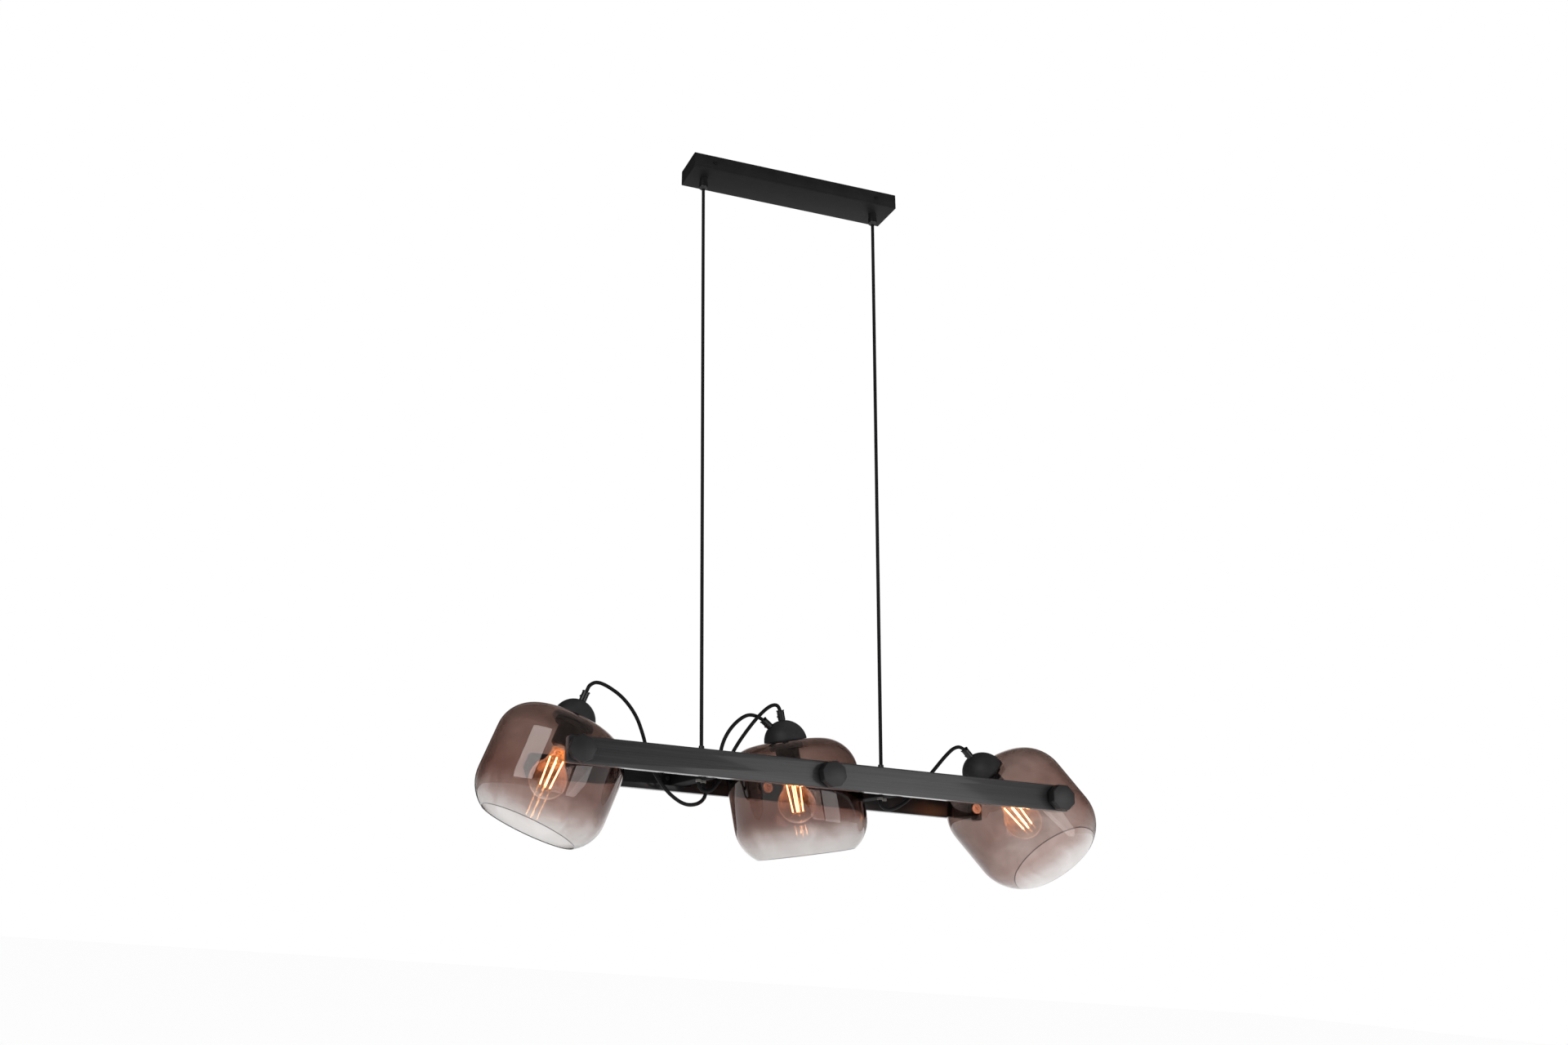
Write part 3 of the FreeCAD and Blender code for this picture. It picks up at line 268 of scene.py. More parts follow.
where = nodes.new("ShaderNodeTexCoord")
slow = noise(nodes, links, where.outputs["Object"], 34, detail=4)
fine = noise(nodes, links, where.outputs["Object"], asked.outputs["Grain"], detail=3)
swing = calculate(nodes, links, "SUBTRACT", slow, 0.5)
swing = calculate(nodes, links, "MULTIPLY", swing, asked.outputs["Spread"])
swing = calculate(nodes, links, "MULTIPLY_ADD", swing, 4, 1)
toned = nodes.new("ShaderNodeVectorMath")
toned.operation = "SCALE"
feed(links, toned, {0: asked.outputs["Color"], "Scale": swing})
facing = nodes.new("ShaderNodeSeparateXYZ")
links.new(where.outputs["Normal"], facing.inputs[0])
resting = calculate(nodes, links, "MULTIPLY_ADD", facing.outputs["Z"], 1.6, -0.6)
patches = calculate(nodes, links, "MULTIPLY_ADD", slow, 2.2, -0.6)
dusty = nodes.new("ShaderNodeMath")
dusty.operation = "MULTIPLY"
dusty.use_clamp = True
feed(links, dusty, {0: resting, 1: patches})
dusty = calculate(nodes, links, "MULTIPLY", dusty.outputs[0], asked.outputs["Dust"])
dusty = calculate(nodes, links, "MAXIMUM", dusty, 0)
dusted = nodes.new("ShaderNodeMix")
dusted.data_type = "RGBA"
feed(links, dusted, {"Factor": dusty, "A": toned.outputs[0], "B": DUST_COLOUR})
gloss = calculate(nodes, links, "MULTIPLY_ADD", fine, 0.3, 0.85)
gloss = calculate(nodes, links, "MULTIPLY", gloss, asked.outputs["Roughness"])
gloss = calculate(nodes, links, "ADD", gloss, dusty)
feed(links, given, {"Color": dusted.outputs["Result"], "Roughness": gloss, "Height": fine})


def finish(name, colour, roughness, metal=0.0, specular=0.5, spread=0.15, grain=900,
           relief=0.15, dust=0.0):
    """A surface finish: its mean colour and roughness, with the drift above. Grain is per metre."""
    material, nodes, links, shader = blank_material(name)
    drift = nodes.new("ShaderNodeGroup")
    drift.node_tree = drifting
    feed(links, drift, {"Color": (*colour, 1), "Spread": spread, "Roughness": roughness,
                        "Grain": grain, "Dust": dust})
    bump = nodes.new("ShaderNodeBump")
    feed(links, bump, {"Height": drift.outputs["Height"], "Strength": relief,
                       "Distance": 0.0003})
    feed(links, shader, {"Base Color": drift.outputs["Color"], "Metallic": metal,
                         "Roughness": drift.outputs["Roughness"],
                         "Specular IOR Level": specular, "Normal": bump.outputs["Normal"]})
    return material


enamel = finish("black_enamel", (0.0185, 0.018, 0.019), 0.45, specular=0.08, dust=0.12)
cover = brick(CANOPY_LENGTH, CANOPY_WIDTH, CANOPY_DEPTH, z=-CANOPY_DEPTH / 2)
bmesh.ops.delete(cover, geom=[face for face in cover.faces if face.normal.z > 0.9],
                 context="FACES_ONLY")
soften(cover, [edge for edge in cover.edges if not edge.is_boundary], 1.5, 4)
canopy_cover = pendant_piece("canopy_cover", cover, "canopy", "black_metal", [enamel],
                             "canopy_shell")
sheet = canopy_cover.modifiers.new("sheet_thickness", "SOLIDIFY")
sheet.thickness = CANOPY_SHEET
sheet.offset = -1


# Side screws: black pan-head screws with a cross recess. They pass through the cover's long
# sides into the bracket's tabs.
def pan_screw(radius, height, shank_radius, shank_length, arm, slot_width):
    """A screw pointing down, its head on z = 0, with a cross recess in the top."""
    shape = bmesh.new()
    bmesh.ops.create_grid(shape, x_segments=5, y_segments=5, size=radius)
    lines = sorted({round(vert.co.x, 4) for vert in shape.verts})
    wanted = (-radius, -arm, -slot_width / 2, slot_width / 2, arm, radius)
    shift = dict(zip(lines, wanted))
    for vert in shape.verts:
        vert.co.x, vert.co.y = shift[round(vert.co.x, 4)], shift[round(vert.co.y, 4)]
    cross = []
    for face in shape.faces:
        middle = face.calc_center_median()
        near, far = sorted((abs(middle.x), abs(middle.y)))
        if near < slot_width / 2 and far < arm:
            cross.append(face)
    rim = [edge for edge in shape.edges if edge.is_boundary]
    bmesh.ops.subdivide_edges(shape, edges=rim, cuts=2)
    rim = [edge for edge in shape.edges if edge.is_boundary]
    for vert in {vert for edge in rim for vert in edge.verts}:
        vert.co.xy = vert.co.xy.normalized() * radius
    side = bmesh.ops.extrude_edge_only(shape, edges=rim)["geom"]
    low = [item for item in side if isinstance(item, bmesh.types.BMVert)]
    bmesh.ops.translate(shape, vec=(0, 0, -height), verts=low)
    foot = [edge for edge in shape.edges if edge.is_boundary]
    base = bmesh.ops.contextual_create(shape, geom=foot)["faces"]
    bmesh.ops.inset_region(shape, faces=base, thickness=radius - shank_radius)
    shank = bmesh.ops.extrude_face_region(shape, geom=base)["geom"]
    bmesh.ops.translate(shape, vec=(0, 0, -shank_length),
                        verts=[item for item in shank if isinstance(item, bmesh.types.BMVert)])
    bmesh.ops.delete(shape, geom=base, context="FACES_ONLY")
    recess = bmesh.ops.extrude_face_region(shape, geom=cross)["geom"]
    bmesh.ops.translate(shape, vec=(0, 0, -height * 0.6),
                        verts=[item for item in recess if isinstance(item, bmesh.types.BMVert)])
    bmesh.ops.delete(shape, geom=cross, context="FACES_ONLY")
    shape.normal_update()
    edge_of_head = [edge for edge in shape.edges
                    if all(abs(vert.co.z) < 0.01 and vert.co.xy.length > radius * 0.98
                           for vert in edge.verts)]
    soften(shape, edge_of_head, height * 0.4)
    return moved(shape, Matrix.Translation((0, 0, height)))


TO_FRONT = Matrix.Rotation(math.radians(90), 4, "X")
TO_BACK = Matrix.Rotation(math.radians(-90), 4, "X")
oxide = finish("black_oxide", (0.02, 0.02, 0.021), 0.4, metal=0.5, grain=1500)
SIDE_SCREW_X = 168
screws = []
for x in (-SIDE_SCREW_X, SIDE_SCREW_X):
    for y, facing_way in ((-CANOPY_WIDTH / 2, TO_FRONT), (CANOPY_WIDTH / 2, TO_BACK)):
        screw = pan_screw(radius=3.8, height=2.4, shank_radius=2, shank_length=8.6, arm=2.1,
                          slot_width=0.9)
        place = Matrix.Translation((x, y, -CANOPY_DEPTH / 2))
        screws.append(moved(screw, place @ facing_way))
pendant_piece("side_screws", gather(*screws), "canopy", "black_screws", [oxide],
              "canopy_side_screws")


# Bracket and terminal block: a zinc-plated steel strap with slots for the ceiling screws, and a
# white block in which the supply wires are joined. The solids have their shape already.
def dress(material, *names):
    """Give CAD nodes a finish."""
    for name in names:
        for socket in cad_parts[name].material_slots:
            socket.material = material


dress(finish("zinc_plate", (0.6, 0.6, 0.58), 0.34, metal=1.0, grain=420, relief=0.25),
      "mounting_bracket")
white_nylon = finish("white_nylon", (0.74, 0.73, 0.7), 0.5, spread=0.05, dust=0.08)
dress(white_nylon, "terminal_block", "crossbar_splices")
dress(finish("brass", (0.72, 0.52, 0.24), 0.3, metal=1.0), "terminal_screws")


# Cord grips: black nylon glands, with a collar under the cover, a fluted clamping cap and a nose
# that the cord leaves through. Its mouth is conical, so that the cord can swing without a cut. A
# lock nut holds each grip inside the cover.
def turned(start, steps, segments=64):
    """A turned piece about the Z axis. A step is a radius and height to run to, or an arc's
    centre radius and height and its angle, positive from up towards out."""
    shape = bmesh.new()
    here = shape.verts.new((start[0], 0, start[1]))
    for step in steps:
        if len(step) == 2:
            here = bmesh.ops.extrude_vert_indiv(shape, verts=[here])["verts"][0]
            here.co = (step[0], 0, step[1])
            continue
        radius, height, angle = step
        here = bmesh.ops.spin(shape, geom=[here], cent=(radius, 0, height), axis=(0, 1, 0),
                              dvec=(0, 0, 0), angle=math.radians(angle),
                              steps=max(3, round(abs(angle) / 7.5)),
                              use_duplicate=False)["geom_last"][0]
    bmesh.ops.spin(shape, geom=shape.verts[:] + shape.edges[:], cent=(0, 0, 0), axis=(0, 0, 1),
                   dvec=(0, 0, 0), angle=math.tau, steps=segments, use_merge=True)
    bmesh.ops.remove_doubles(shape, verts=shape.verts[:], dist=0.002)
    bmesh.ops.recalc_face_normals(shape, faces=shape.faces[:])
    return shape


def flute(shape, low, high, depth):
    """Press flutes into every other face of an upright band."""
    shape.normal_update()
    band = [face for face in shape.faces
            if low < face.calc_center_median().z < high and abs(face.normal.z) < 0.3]
    band.sort(key=lambda face: math.atan2(*face.calc_center_median().xy))
    bmesh.ops.inset_individual(shape, faces=band[::2], thickness=depth * 0.4, depth=-depth)
    return shape


grip_nylon = finish("black_nylon", (0.011, 0.011, 0.0115), 0.32, specular=0.4, grain=1400)
OUTLET_X = 178
grips = []
for x in (-OUTLET_X, OUTLET_X):
    grip = turned((0, -49.2), [(4.4, -49.2), (3.25, -53.8), (3.5, -54), (4.2, -54),
                               (4.5, -53.7), (7.9, -50.6), (8.2, -50.1), (8.2, -49.2),
                               (8.2, -40.4), (8.2, -39.4), (7.8, -39), (7.5, -38.8),
                               (7.5, -30.2), (7.2, -30), (5, -30), (5, -25.8), (0, -25.8)], 48)
    grips.append(moved(flute(grip, -49.2, -40.4, 0.3), Matrix.Translation((x, 0, 0))))
pendant_piece("cord_glands", gather(*grips), "canopy", "black_plastic", [grip_nylon],
              "canopy_cord_grips")
dress(grip_nylon, "canopy_grip_nuts", "left_cord_grip", "middle_cord_grip", "right_cord_grip")


# Canopy leads: each suspension cord goes on through its grip and lies along the cover to the
# terminal block.
def cord_line(name, points, thickness=0.006):
    """A round cord along one smooth line that is drawn through given points, in metres."""
    curve = bpy.data.curves.new(name, "CURVE")
    curve.dimensions = "3D"
    line = curve.splines.new("NURBS")
    line.points.add(len(points) - 1)
    for control, place in zip(line.points, points):
        control.co = (*place, 1)
    line.order_u = 3
    line.use_endpoint_u = True
    curve.resolution_u = 14
    curve.bevel_depth = thickness / 2
    curve.bevel_resolution = 5
    curve.use_fill_caps = True
    cord = bpy.data.objects.new(name, curve)
    bpy.context.collection.objects.link(cord)
    return cord


sheath = finish("black_sheath", (0.0085, 0.0083, 0.0087), 0.5, specular=0.15, grain=2600,
                relief=0.04)
for label, side in (("left", -1), ("right", 1)):
    lead = cord_line(f"canopy_lead_{label}",
                     [(0.178 * side, 0, -0.0258), (0.178 * side, 0, -0.0118),
                      (0.164 * side, 0, -0.0118), (0.011 * side, 0, -0.0118)])
    lead.data.materials.append(sheath)
    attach(lead, "canopy")
    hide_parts("canopy_leads")


# Suspension cords: two black sheathed cords that carry the frame and its current. Each hangs
# taut from its canopy grip to the ferrule on its crossbar.
for label, side in (("left", -1), ("right", 1)):
    cord = cord_line(f"suspension_line_{label}",
                     [(0.178 * side, 0, -0.050), (0.1775 * side, 0, -0.0795),
                      (0.1605 * side, 0, -1.0835), (0.160 * side, 0, -1.113)])
    cord.data.materials.append(sheath)
    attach(cord, "frame")
    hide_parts(f"suspension_cord_{label}")


# Bars: two long battens of fine-grained wood, stained black and sealed, with round end corners
# and broken edges. The shades' pivot bolts pass through them. Their inward faces take a much
# darker copy of the stain, which is painted shade for the space between the bars.
BAR_LENGTH, BAR_THICKNESS, BAR_HEIGHT = 836, 18, 40
BAR_Y, BAR_Z = 119, -1144
GRAIN_SCALE = (5, 380, 380)


def coloured(nodes, links, value, stops):
    """A value turned into a colour that runs through stops, each a position and a colour."""
    tone = nodes.new("ShaderNodeValToRGB")
    ramp = tone.color_ramp.elements
    while len(ramp) < len(stops):
        ramp.new(0.5)
    for stop, (position, colour) in zip(ramp, stops):
        stop.position = position
        stop.color = (*colour, 1)
    links.new(value, tone.inputs["Fac"])
    return tone.outputs["Color"]


def stained_wood(name, dark, pale, roughness, specular):
    """Fine-grained wood along X, stained between two tones, with a thin clear seal on it."""
    material, nodes, links, shader = blank_material(name)
    where = nodes.new("ShaderNodeTexCoord")
    stretch = nodes.new("ShaderNodeMapping")
    feed(links, stretch, {"Vector": where.outputs["Object"], "Scale": GRAIN_SCALE})
    streaks = noise(nodes, links, stretch.outputs["Vector"], 1, detail=6, roughness=0.6)
    broad = noise(nodes, links, where.outputs["Object"], 9, detail=2)
    pores = nodes.new("ShaderNodeBump")
    feed(links, pores, {"Height": streaks, "Strength": 0.4, "Distance": 0.0002})
    feed(links, shader, {
        "Base Color": coloured(nodes, links, streaks, ((0.3, dark), (0.72, pale))),
        "Roughness": calculate(nodes, links, "MULTIPLY_ADD", broad, 0.12, roughness),
        "Specular IOR Level": specular, "Coat Weight": 1, "Coat IOR": 1.2,
        "Coat Roughness": 0.08, "Normal": pores.outputs["Normal"]})
    return material


outer_stain = stained_wood("outer_stain", (0.0165, 0.0158, 0.017), (0.032, 0.0308, 0.0329),
                           0.4, 0.38)
# A much darker copy of the stain: painted shade for the inward faces between the bars.
inner_painted_shade = stained_wood("inner_painted_shade", (0.004, 0.0034, 0.0036), (0.0075, 0.0064, 0.0069),
                           0.34, 0.18)
for label, side in (("front", -1), ("back", 1)):
    bar = brick(BAR_LENGTH, BAR_THICKNESS, BAR_HEIGHT, 0, BAR_Y * side, BAR_Z)
    soften(bar, edges_along(bar, 1), 3.5, 6)
    soften(bar, sharp_edges(bar), 0.8)
    for face in bar.faces:
        # Faces that look at the other bar take the painted-shade copy of the stain.
        looks_inwards = face.normal.y * side < -0.75
        if looks_inwards:
            face.material_index = 1
    pendant_piece(f"wood_{label}_bar", bar, "frame", "black_wood", [outer_stain, inner_painted_shade],
                  f"{label}_bar")


# Crossbars: rectangular steel tubes with a welded plate at each end, painted black. Two pan-head
# screws fix each plate to its bar, and the wires run and are joined inside.
dull_paint = finish("dull_black_paint", (0.007, 0.0067, 0.0072), 0.7, specular=0.04)
CROSSBAR_X, CROSSBAR_WIDTH, CROSSBAR_HEIGHT = 160, 24, 22
CROSSBAR_TOP, CROSSBAR_BOTTOM = BAR_Z + CROSSBAR_HEIGHT / 2, BAR_Z - CROSSBAR_HEIGHT / 2
PLATE_Y, PLATE_INSIDE_Y = 108.5, 107
for label, x in (("left", -CROSSBAR_X), ("right", CROSSBAR_X)):
    tube = brick(CROSSBAR_WIDTH, 214, CROSSBAR_HEIGHT, x, 0, BAR_Z)
    pieces = [soften(tube, sharp_edges(tube), 1.4)]
    for y in (-PLATE_Y, PLATE_Y):
        plate = brick(50, 3, CROSSBAR_HEIGHT, x, y, BAR_Z)
        soften(plate, edges_along(plate, 1), 3, 4)
        pieces.append(soften(plate, sharp_edges(plate), 0.4))
    pendant_piece(f"tube_{label}", gather(*pieces), "frame", "black_metal", [dull_paint],
                  f"crossbar_{label}")
screws = []
for x in (-177.5, -142.5, 142.5, 177.5):
    for y, facing_way in ((PLATE_INSIDE_Y, TO_FRONT), (-PLATE_INSIDE_Y, TO_BACK)):
        screw = pan_screw(radius=3.6, height=2.4, shank_radius=2, shank_length=14.6, arm=2,
                          slot_width=0.9)
        screws.append(moved(screw, Matrix.Translation((x, y, BAR_Z)) @ facing_way))
pendant_piece("plate_screws", gather(*screws), "frame", "black_screws", [oxide],
              "crossbar_screws")


# Ferrules, nipples and grommet: a tapered black ferrule stands on each crossbar and grips the
# suspension cord. The lamp cables leave through short nylon nipples below and a rubber grommet.
ferrules = []
for x in (-CROSSBAR_X, CROSSBAR_X):
    ferrule = turned((0, 20), [(3.2, 20), (3.2, 32), (4, 32), (4.4, 31.6), (5.5, 20.6),
                               (5.6, 20), (5.6, 17.5), (5.6, 5.5), (5.6, 3.6), (5.2, 3.2),
                               (5.2, 2.6), (5.6, 2.2), (5.6, 0), (5, 0), (5, -4.5), (0, -4.5)],
                     40)
    flute(ferrule, 5.5, 17.5, 0.25)
    ferrules.append(moved(ferrule, Matrix.Translation((x, 0, CROSSBAR_TOP))))
pendant_piece("ferrules", gather(*ferrules), "frame", "black_plastic", [grip_nylon],
              "suspension_grips")
pale_nylon = finish("pale_nylon", (0.36, 0.345, 0.32), 0.45, spread=0.08)
nipples = []
for x, y in ((-165.5, -4), (-154.5, 4), (154.5, -4), (165.5, 4)):
    nipple = turned((0, -1), [(3.2, -1), (3.2, -4), (4.3, -4), (4.8, -3.5), (4.8, 0), (3.8, 0),
                              (3.8, 3), (0, 3)], 40)
    nipples.append(moved(nipple, Matrix.Translation((x, y, CROSSBAR_BOTTOM))))
pendant_piece("nipples", gather(*nipples), "frame", "pale_plastic", [pale_nylon],
              "outlet_nipples")
rubber = finish("black_rubber", (0.016, 0.016, 0.0165), 0.7, specular=0.3, grain=1100)
grommet = turned((0, 1.5), [(4.2, 1.5), (4.2, 0.7, 90), (5, 0), (3.3, 0), (3.3, -1.5),
                            (0, -1.5)], 40)
moved(grommet, Matrix.Translation((-148, 0, BAR_Z)) @ Matrix.Rotation(math.radians(90), 4, "Y"))
pendant_piece("grommet", grommet, "frame", "rubber_black", [rubber], "crossbar_grommet")


# Lamp cables: the same black cord, run loosely from the crossbars to the domes. The left one
# dips under the bars and loops up to the left dome; the middle dome's second cable comes back.
LAMP_CABLES = {
    "cable_left": ("left", 0.3474, [
        (-0.1545, 0.004, -1.156), (-0.1545, 0.004, -1.165), (-0.1495, 0.0036, -1.174),
        (-0.1535, 0.0032, -1.185), (-0.166, 0.0024, -1.194), (-0.187, 0.0012, -1.196),
        (-0.211, 0, -1.183), (-0.228, 0, -1.166), (-0.242, 0, -1.146), (-0.252, 0, -1.121),
        (-0.260, 0, -1.093), (-0.273, 0, -1.063), (-0.296, 0, -1.037), (-0.323, 0, -1.0215),
        (-0.342, 0, -1.0165), (-0.3533, 0, -1.0234), (-0.3563, 0, -1.0301),
        (-0.3609, 0, -1.0422)]),
    "cable_middle": ("middle", 0.2450, [
        (-0.1655, -0.004, -1.156), (-0.1655, -0.004, -1.165), (-0.158, -0.004, -1.1725),
        (-0.146, -0.004, -1.172), (-0.134, -0.005, -1.160), (-0.124, -0.006, -1.141),
        (-0.115, -0.007, -1.119), (-0.102, -0.007, -1.095), (-0.084, -0.007, -1.069),
        (-0.065, -0.007, -1.045), (-0.046, -0.005, -1.027), (-0.032, -0.002, -1.0205),
        (-0.0233, 0, -1.0242), (-0.0208, 0, -1.037)]),
    "cable_link": ("middle", 0.1665, [
        (-0.1465, 0, -1.144), (-0.1375, 0, -1.144), (-0.131, 0, -1.137), (-0.1285, 0, -1.124),
        (-0.127, 0, -1.106), (-0.121, 0, -1.086), (-0.109, 0, -1.066), (-0.092, 0, -1.049),
        (-0.076, 0, -1.041), (-0.0570, 0, -1.0449), (-0.0468, 0, -1.0529)]),
    "cable_right": ("right", 0.2296, [
        (0.1545, -0.004, -1.156), (0.1545, -0.004, -1.165), (0.1605, -0.004, -1.1715),
        (0.171, -0.0035, -1.1735), (0.187, -0.002, -1.168), (0.208, -0.001, -1.154),
        (0.231, 0, -1.131), (0.257, 0, -1.103), (0.281, 0, -1.076), (0.300, 0, -1.0585),
        (0.3153, 0, -1.0562), (0.3243, 0, -1.0656)]),
}
for name, (head, length, points) in LAMP_CABLES.items():
    line = cord_line(name + "_line", points)
    section = line.data.bevel_depth
    line.data.bevel_depth = 0
    middle_line = bpy.data.meshes.new_from_object(line)
    line.data.bevel_depth = section
    cable = bpy.data.objects.new(name + "_cord", bpy.data.meshes.new_from_object(line))
    bpy.context.collection.objects.link(cable)
    bpy.data.objects.remove(line)
    bpy.data.meshes.remove(middle_line)
    cable.data.materials.clear()
    cable.data.materials.append(sheath)
    cable.data.shade_smooth()
    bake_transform(cable)
    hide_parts(name)


# Shades: blown glass, 3 mm thick and thinner at the fire-polished rim, with a flat crown, a round
# shoulder and a drawn-in mouth. A cloudy brown tint is dense above and fades out over the mouth.
HEADS = {"left": (-400, -21), "middle": (0, 11), "right": (400, 44)}
hung = {head: Matrix.Translation((x, 0, BAR_Z))
        @ Matrix.Rotation(math.radians(tilt), 4, Vector((0, -1, 0)))
        for head, (x, tilt) in HEADS.items()}


def places_in_head(nodes, links, head):
    """Places about a head's pivot in its own upright directions, in metres, as a whole and
    split into X, Y and Z."""
    x, tilt = HEADS[head]
    where = nodes.new("ShaderNodeTexCoord")
    own = nodes.new("ShaderNodeMapping")
    own.vector_type = "TEXTURE"
    feed(links, own, {"Vector": where.outputs["Object"],
                      "Location": (x / 1000, 0, BAR_Z / 1000),
                      "Rotation": (0, -math.radians(tilt), 0)})
    parts = nodes.new("ShaderNodeSeparateXYZ")
    links.new(own.outputs["Vector"], parts.inputs[0])
    return own.outputs["Vector"], parts.outputs


# Where the tint's fade starts and ends, and its colours from the mouth up to the crown.
SHADE_MOUTH, SHADE_CROWN = -0.114, 0.064
TINT_STOPS = ((0.0, (0.84, 0.83, 0.82)), (0.12, (0.79, 0.76, 0.75)), (0.21, (0.67, 0.61, 0.59)),
              (0.28, (0.5, 0.4, 0.375)), (0.36, (0.41, 0.29, 0.257)),
              (0.55, (0.425, 0.318, 0.285)), (1.0, (0.445, 0.36, 0.33)))
# Each shade's mean depth of tint, its patchiness, and its fade's lean, shift and waviness.
TINTS = {"left": (0.84, 0.5, -0.08, 0.0, 0.032), "middle": (0.95, 0.5, 0.0, 0.001, 0.02),
         "right": (0.62, 0.65, 0.0, 0.01, 0.016)}


def smoked_glass(head):
    """Smoky glass of one head, whose cloudy tint fades from the crown to the mouth. It looks
    deeper where the glass is seen edge-on."""
    material, nodes, links, shader = blank_material(f"smoked_glass_{head}")
    depth, patches, lean, drop, wave = TINTS[head]
    own, along = places_in_head(nodes, links, head)
    clouds = noise(nodes, links, own, 22, detail=5, distortion=0.8)
    wavy = calculate(nodes, links, "MULTIPLY_ADD", clouds, wave, -wave / 2)
    wavy = calculate(nodes, links, "ADD", along["Z"], wavy)
    leaning = calculate(nodes, links, "MULTIPLY_ADD", along["X"], lean, drop)
    wavy = calculate(nodes, links, "ADD", wavy, leaning)
    rise = nodes.new("ShaderNodeMapRange")
    feed(links, rise, {"Value": wavy, "From Min": SHADE_MOUTH, "From Max": SHADE_CROWN})
    tint = coloured(nodes, links, rise.outputs["Result"], TINT_STOPS)
    edge_on = nodes.new("ShaderNodeLayerWeight")
    thickness = calculate(nodes, links, "POWER", edge_on.outputs["Facing"], 4)
    thickness = calculate(nodes, links, "MULTIPLY_ADD", thickness, 5, 1)
    patchy = calculate(nodes, links, "MULTIPLY_ADD", clouds, patches, depth)
    deep = nodes.new("ShaderNodeGamma")
    feed(links, deep, {"Color": tint,
                       "Gamma": calculate(nodes, links, "MULTIPLY", thickness, patchy)})
    feed(links, shader, {"Base Color": deep.outputs["Color"], "Transmission Weight": 1,
                         "Roughness": 0.015, "IOR": 1.42})
    return material


def streaky_glass(name, colour):
    """Glass of one colour with slightly uneven polish."""
    material, nodes, links, shader = blank_material(name)
    where = nodes.new("ShaderNodeTexCoord")
    uneven = noise(nodes, links, where.outputs["Object"], 300)
    feed(links, shader, {"Base Color": (*colour, 1), "Transmission Weight": 1, "IOR": 1.5,
                         "Roughness": calculate(nodes, links, "MULTIPLY", uneven, 0.08)})
    return material


# The faces below this height, in millimetres from the pivot, are the polished rim. Their dark
# grey glass is painted shade for the dark line that the rounded rim shows.
RIM_TOP = -112.3
rim_painted_shade = streaky_glass("rim_painted_shade", (0.2, 0.19, 0.2))
for head in HEADS:
    glass = turned((20.2, 64), [(52, 64), (52, 9.5, 90), (106.5, -20), (106.46, -62),
                                (44.81, -62, 56.29), (44.81, -62, 1), (77.82, -113.4, 180),
                                (40.68, -62, -1), (40.68, -62, -53.12), (103.5, -20),
                                (103.5, 9.5), (52, 9.5, -90), (20.2, 61), (20.2, 64)], 144)
    # Rim faces take the dark grey glass, a painted dark line.
    for face in glass.faces:
        if face.calc_center_median().z < RIM_TOP:
            face.material_index = 1
    pendant_piece(f"{head}_glass", moved(glass, hung[head]), f"head_{head}", "smoked_glass",
                  [smoked_glass(head), rim_painted_shade], f"{head}_glass_shade", crease=50)


# Domes: pressed steel half balls, powder-coated black, each on a thin rubber gasket on the flat
# crown of its glass. Their forked cord grips keep the CAD shape.
powder_coat = finish("black_powder_coat", (0.03, 0.0287, 0.0303), 0.52, specular=0.28,
                     grain=1300, relief=0.35, dust=0.1)
for head in HEADS:
    dome = turned((33.6, 65.5), [(34.7, 65.5), (35, 65.9), (0, 65.5, -81.4), (5, 98.7),
                                 (0, 65.5, 80.9), (33.6, 65.5)], 96)
    pendant_piece(f"{head}_dome", moved(dome, hung[head]), f"head_{head}", "black_metal",
                  [powder_coat], f"{head}_dome_cap")
    gasket = turned((20.2, 64), [(35.2, 64), (35.6, 64.4), (35.6, 65.1), (35.2, 65.5),
                                 (20.2, 65.5), (20.2, 64)], 96)
    pendant_piece(f"{head}_gasket", moved(gasket, hung[head]), f"head_{head}", "rubber_black",
                  [rubber], f"{head}_shade_gasket")


# Lampholders: moulded black holders with an outside thread. A fluted ring screwed up from below
# clamps the glass between itself and the gasket.
moulded = finish("moulded_black", (0.013, 0.013, 0.0132), 0.4, specular=0.4, grain=1000)
THREAD_FOOT, THREAD_PITCH, THREAD_TURNS = 22, 1.5, 24
for head in HEADS:
    ridges = [(radius, THREAD_FOOT + THREAD_PITCH * step + rise) for step in range(THREAD_TURNS)
              for radius, rise in ((18.9, 0), (19.5, 0.75))]
    holder = turned((0, 42), [(13.3, 42), (13.3, 20), (18.9, 20), *ridges, (19.5, 60),
                              (19.5, 65.5), (24.6, 65.5), (25, 65.9), (25, 67.6), (24.6, 68),
                              (15, 68), (15, 79.4), (14.4, 80), (0, 80)], 72)
    pendant_piece(f"{head}_holder", moved(holder, hung[head]), f"head_{head}",
                  "holder_plastic", [moulded], f"{head}_lampholder")
    ring = turned((19.6, 61), [(26.6, 61), (27, 60.6), (27, 60), (27, 56), (27, 55.4),
                               (26.6, 55), (19.6, 55), (19.6, 61)], 72)
    pendant_piece(f"{head}_ring", moved(flute(ring, 56, 60, 0.4), hung[head]), f"head_{head}",
                  "holder_plastic", [moulded], f"{head}_shade_ring")


# Bulbs: clear 60 mm glass bulbs with a metal screw cap. Four lit filaments stand on a glass stem
# with a centre wire. The glass near the cap carries a painted warm glow for their light on it.
cap_metal = finish("cap_metal", (0.7, 0.69, 0.67), 0.3, metal=1.0, grain=600)
support = finish("support_wire", (0.55, 0.5, 0.42), 0.35, metal=1.0)
stem_glass = streaky_glass("stem_glass", (1, 0.78, 0.52))
lit_filament, nodes, links, shader = blank_material("lit_filament")
where = nodes.new("ShaderNodeTexCoord")
beads = noise(nodes, links, where.outputs["Object"], 500)
feed(links, shader, {
    "Base Color": (0.9, 0.6, 0.2, 1), "Emission Strength": 42,
    "Emission Color": coloured(nodes, links, beads, ((0.3, (0.95, 0.45, 0.16)),
                                                     (0.55, (1, 0.54, 0.22))))})


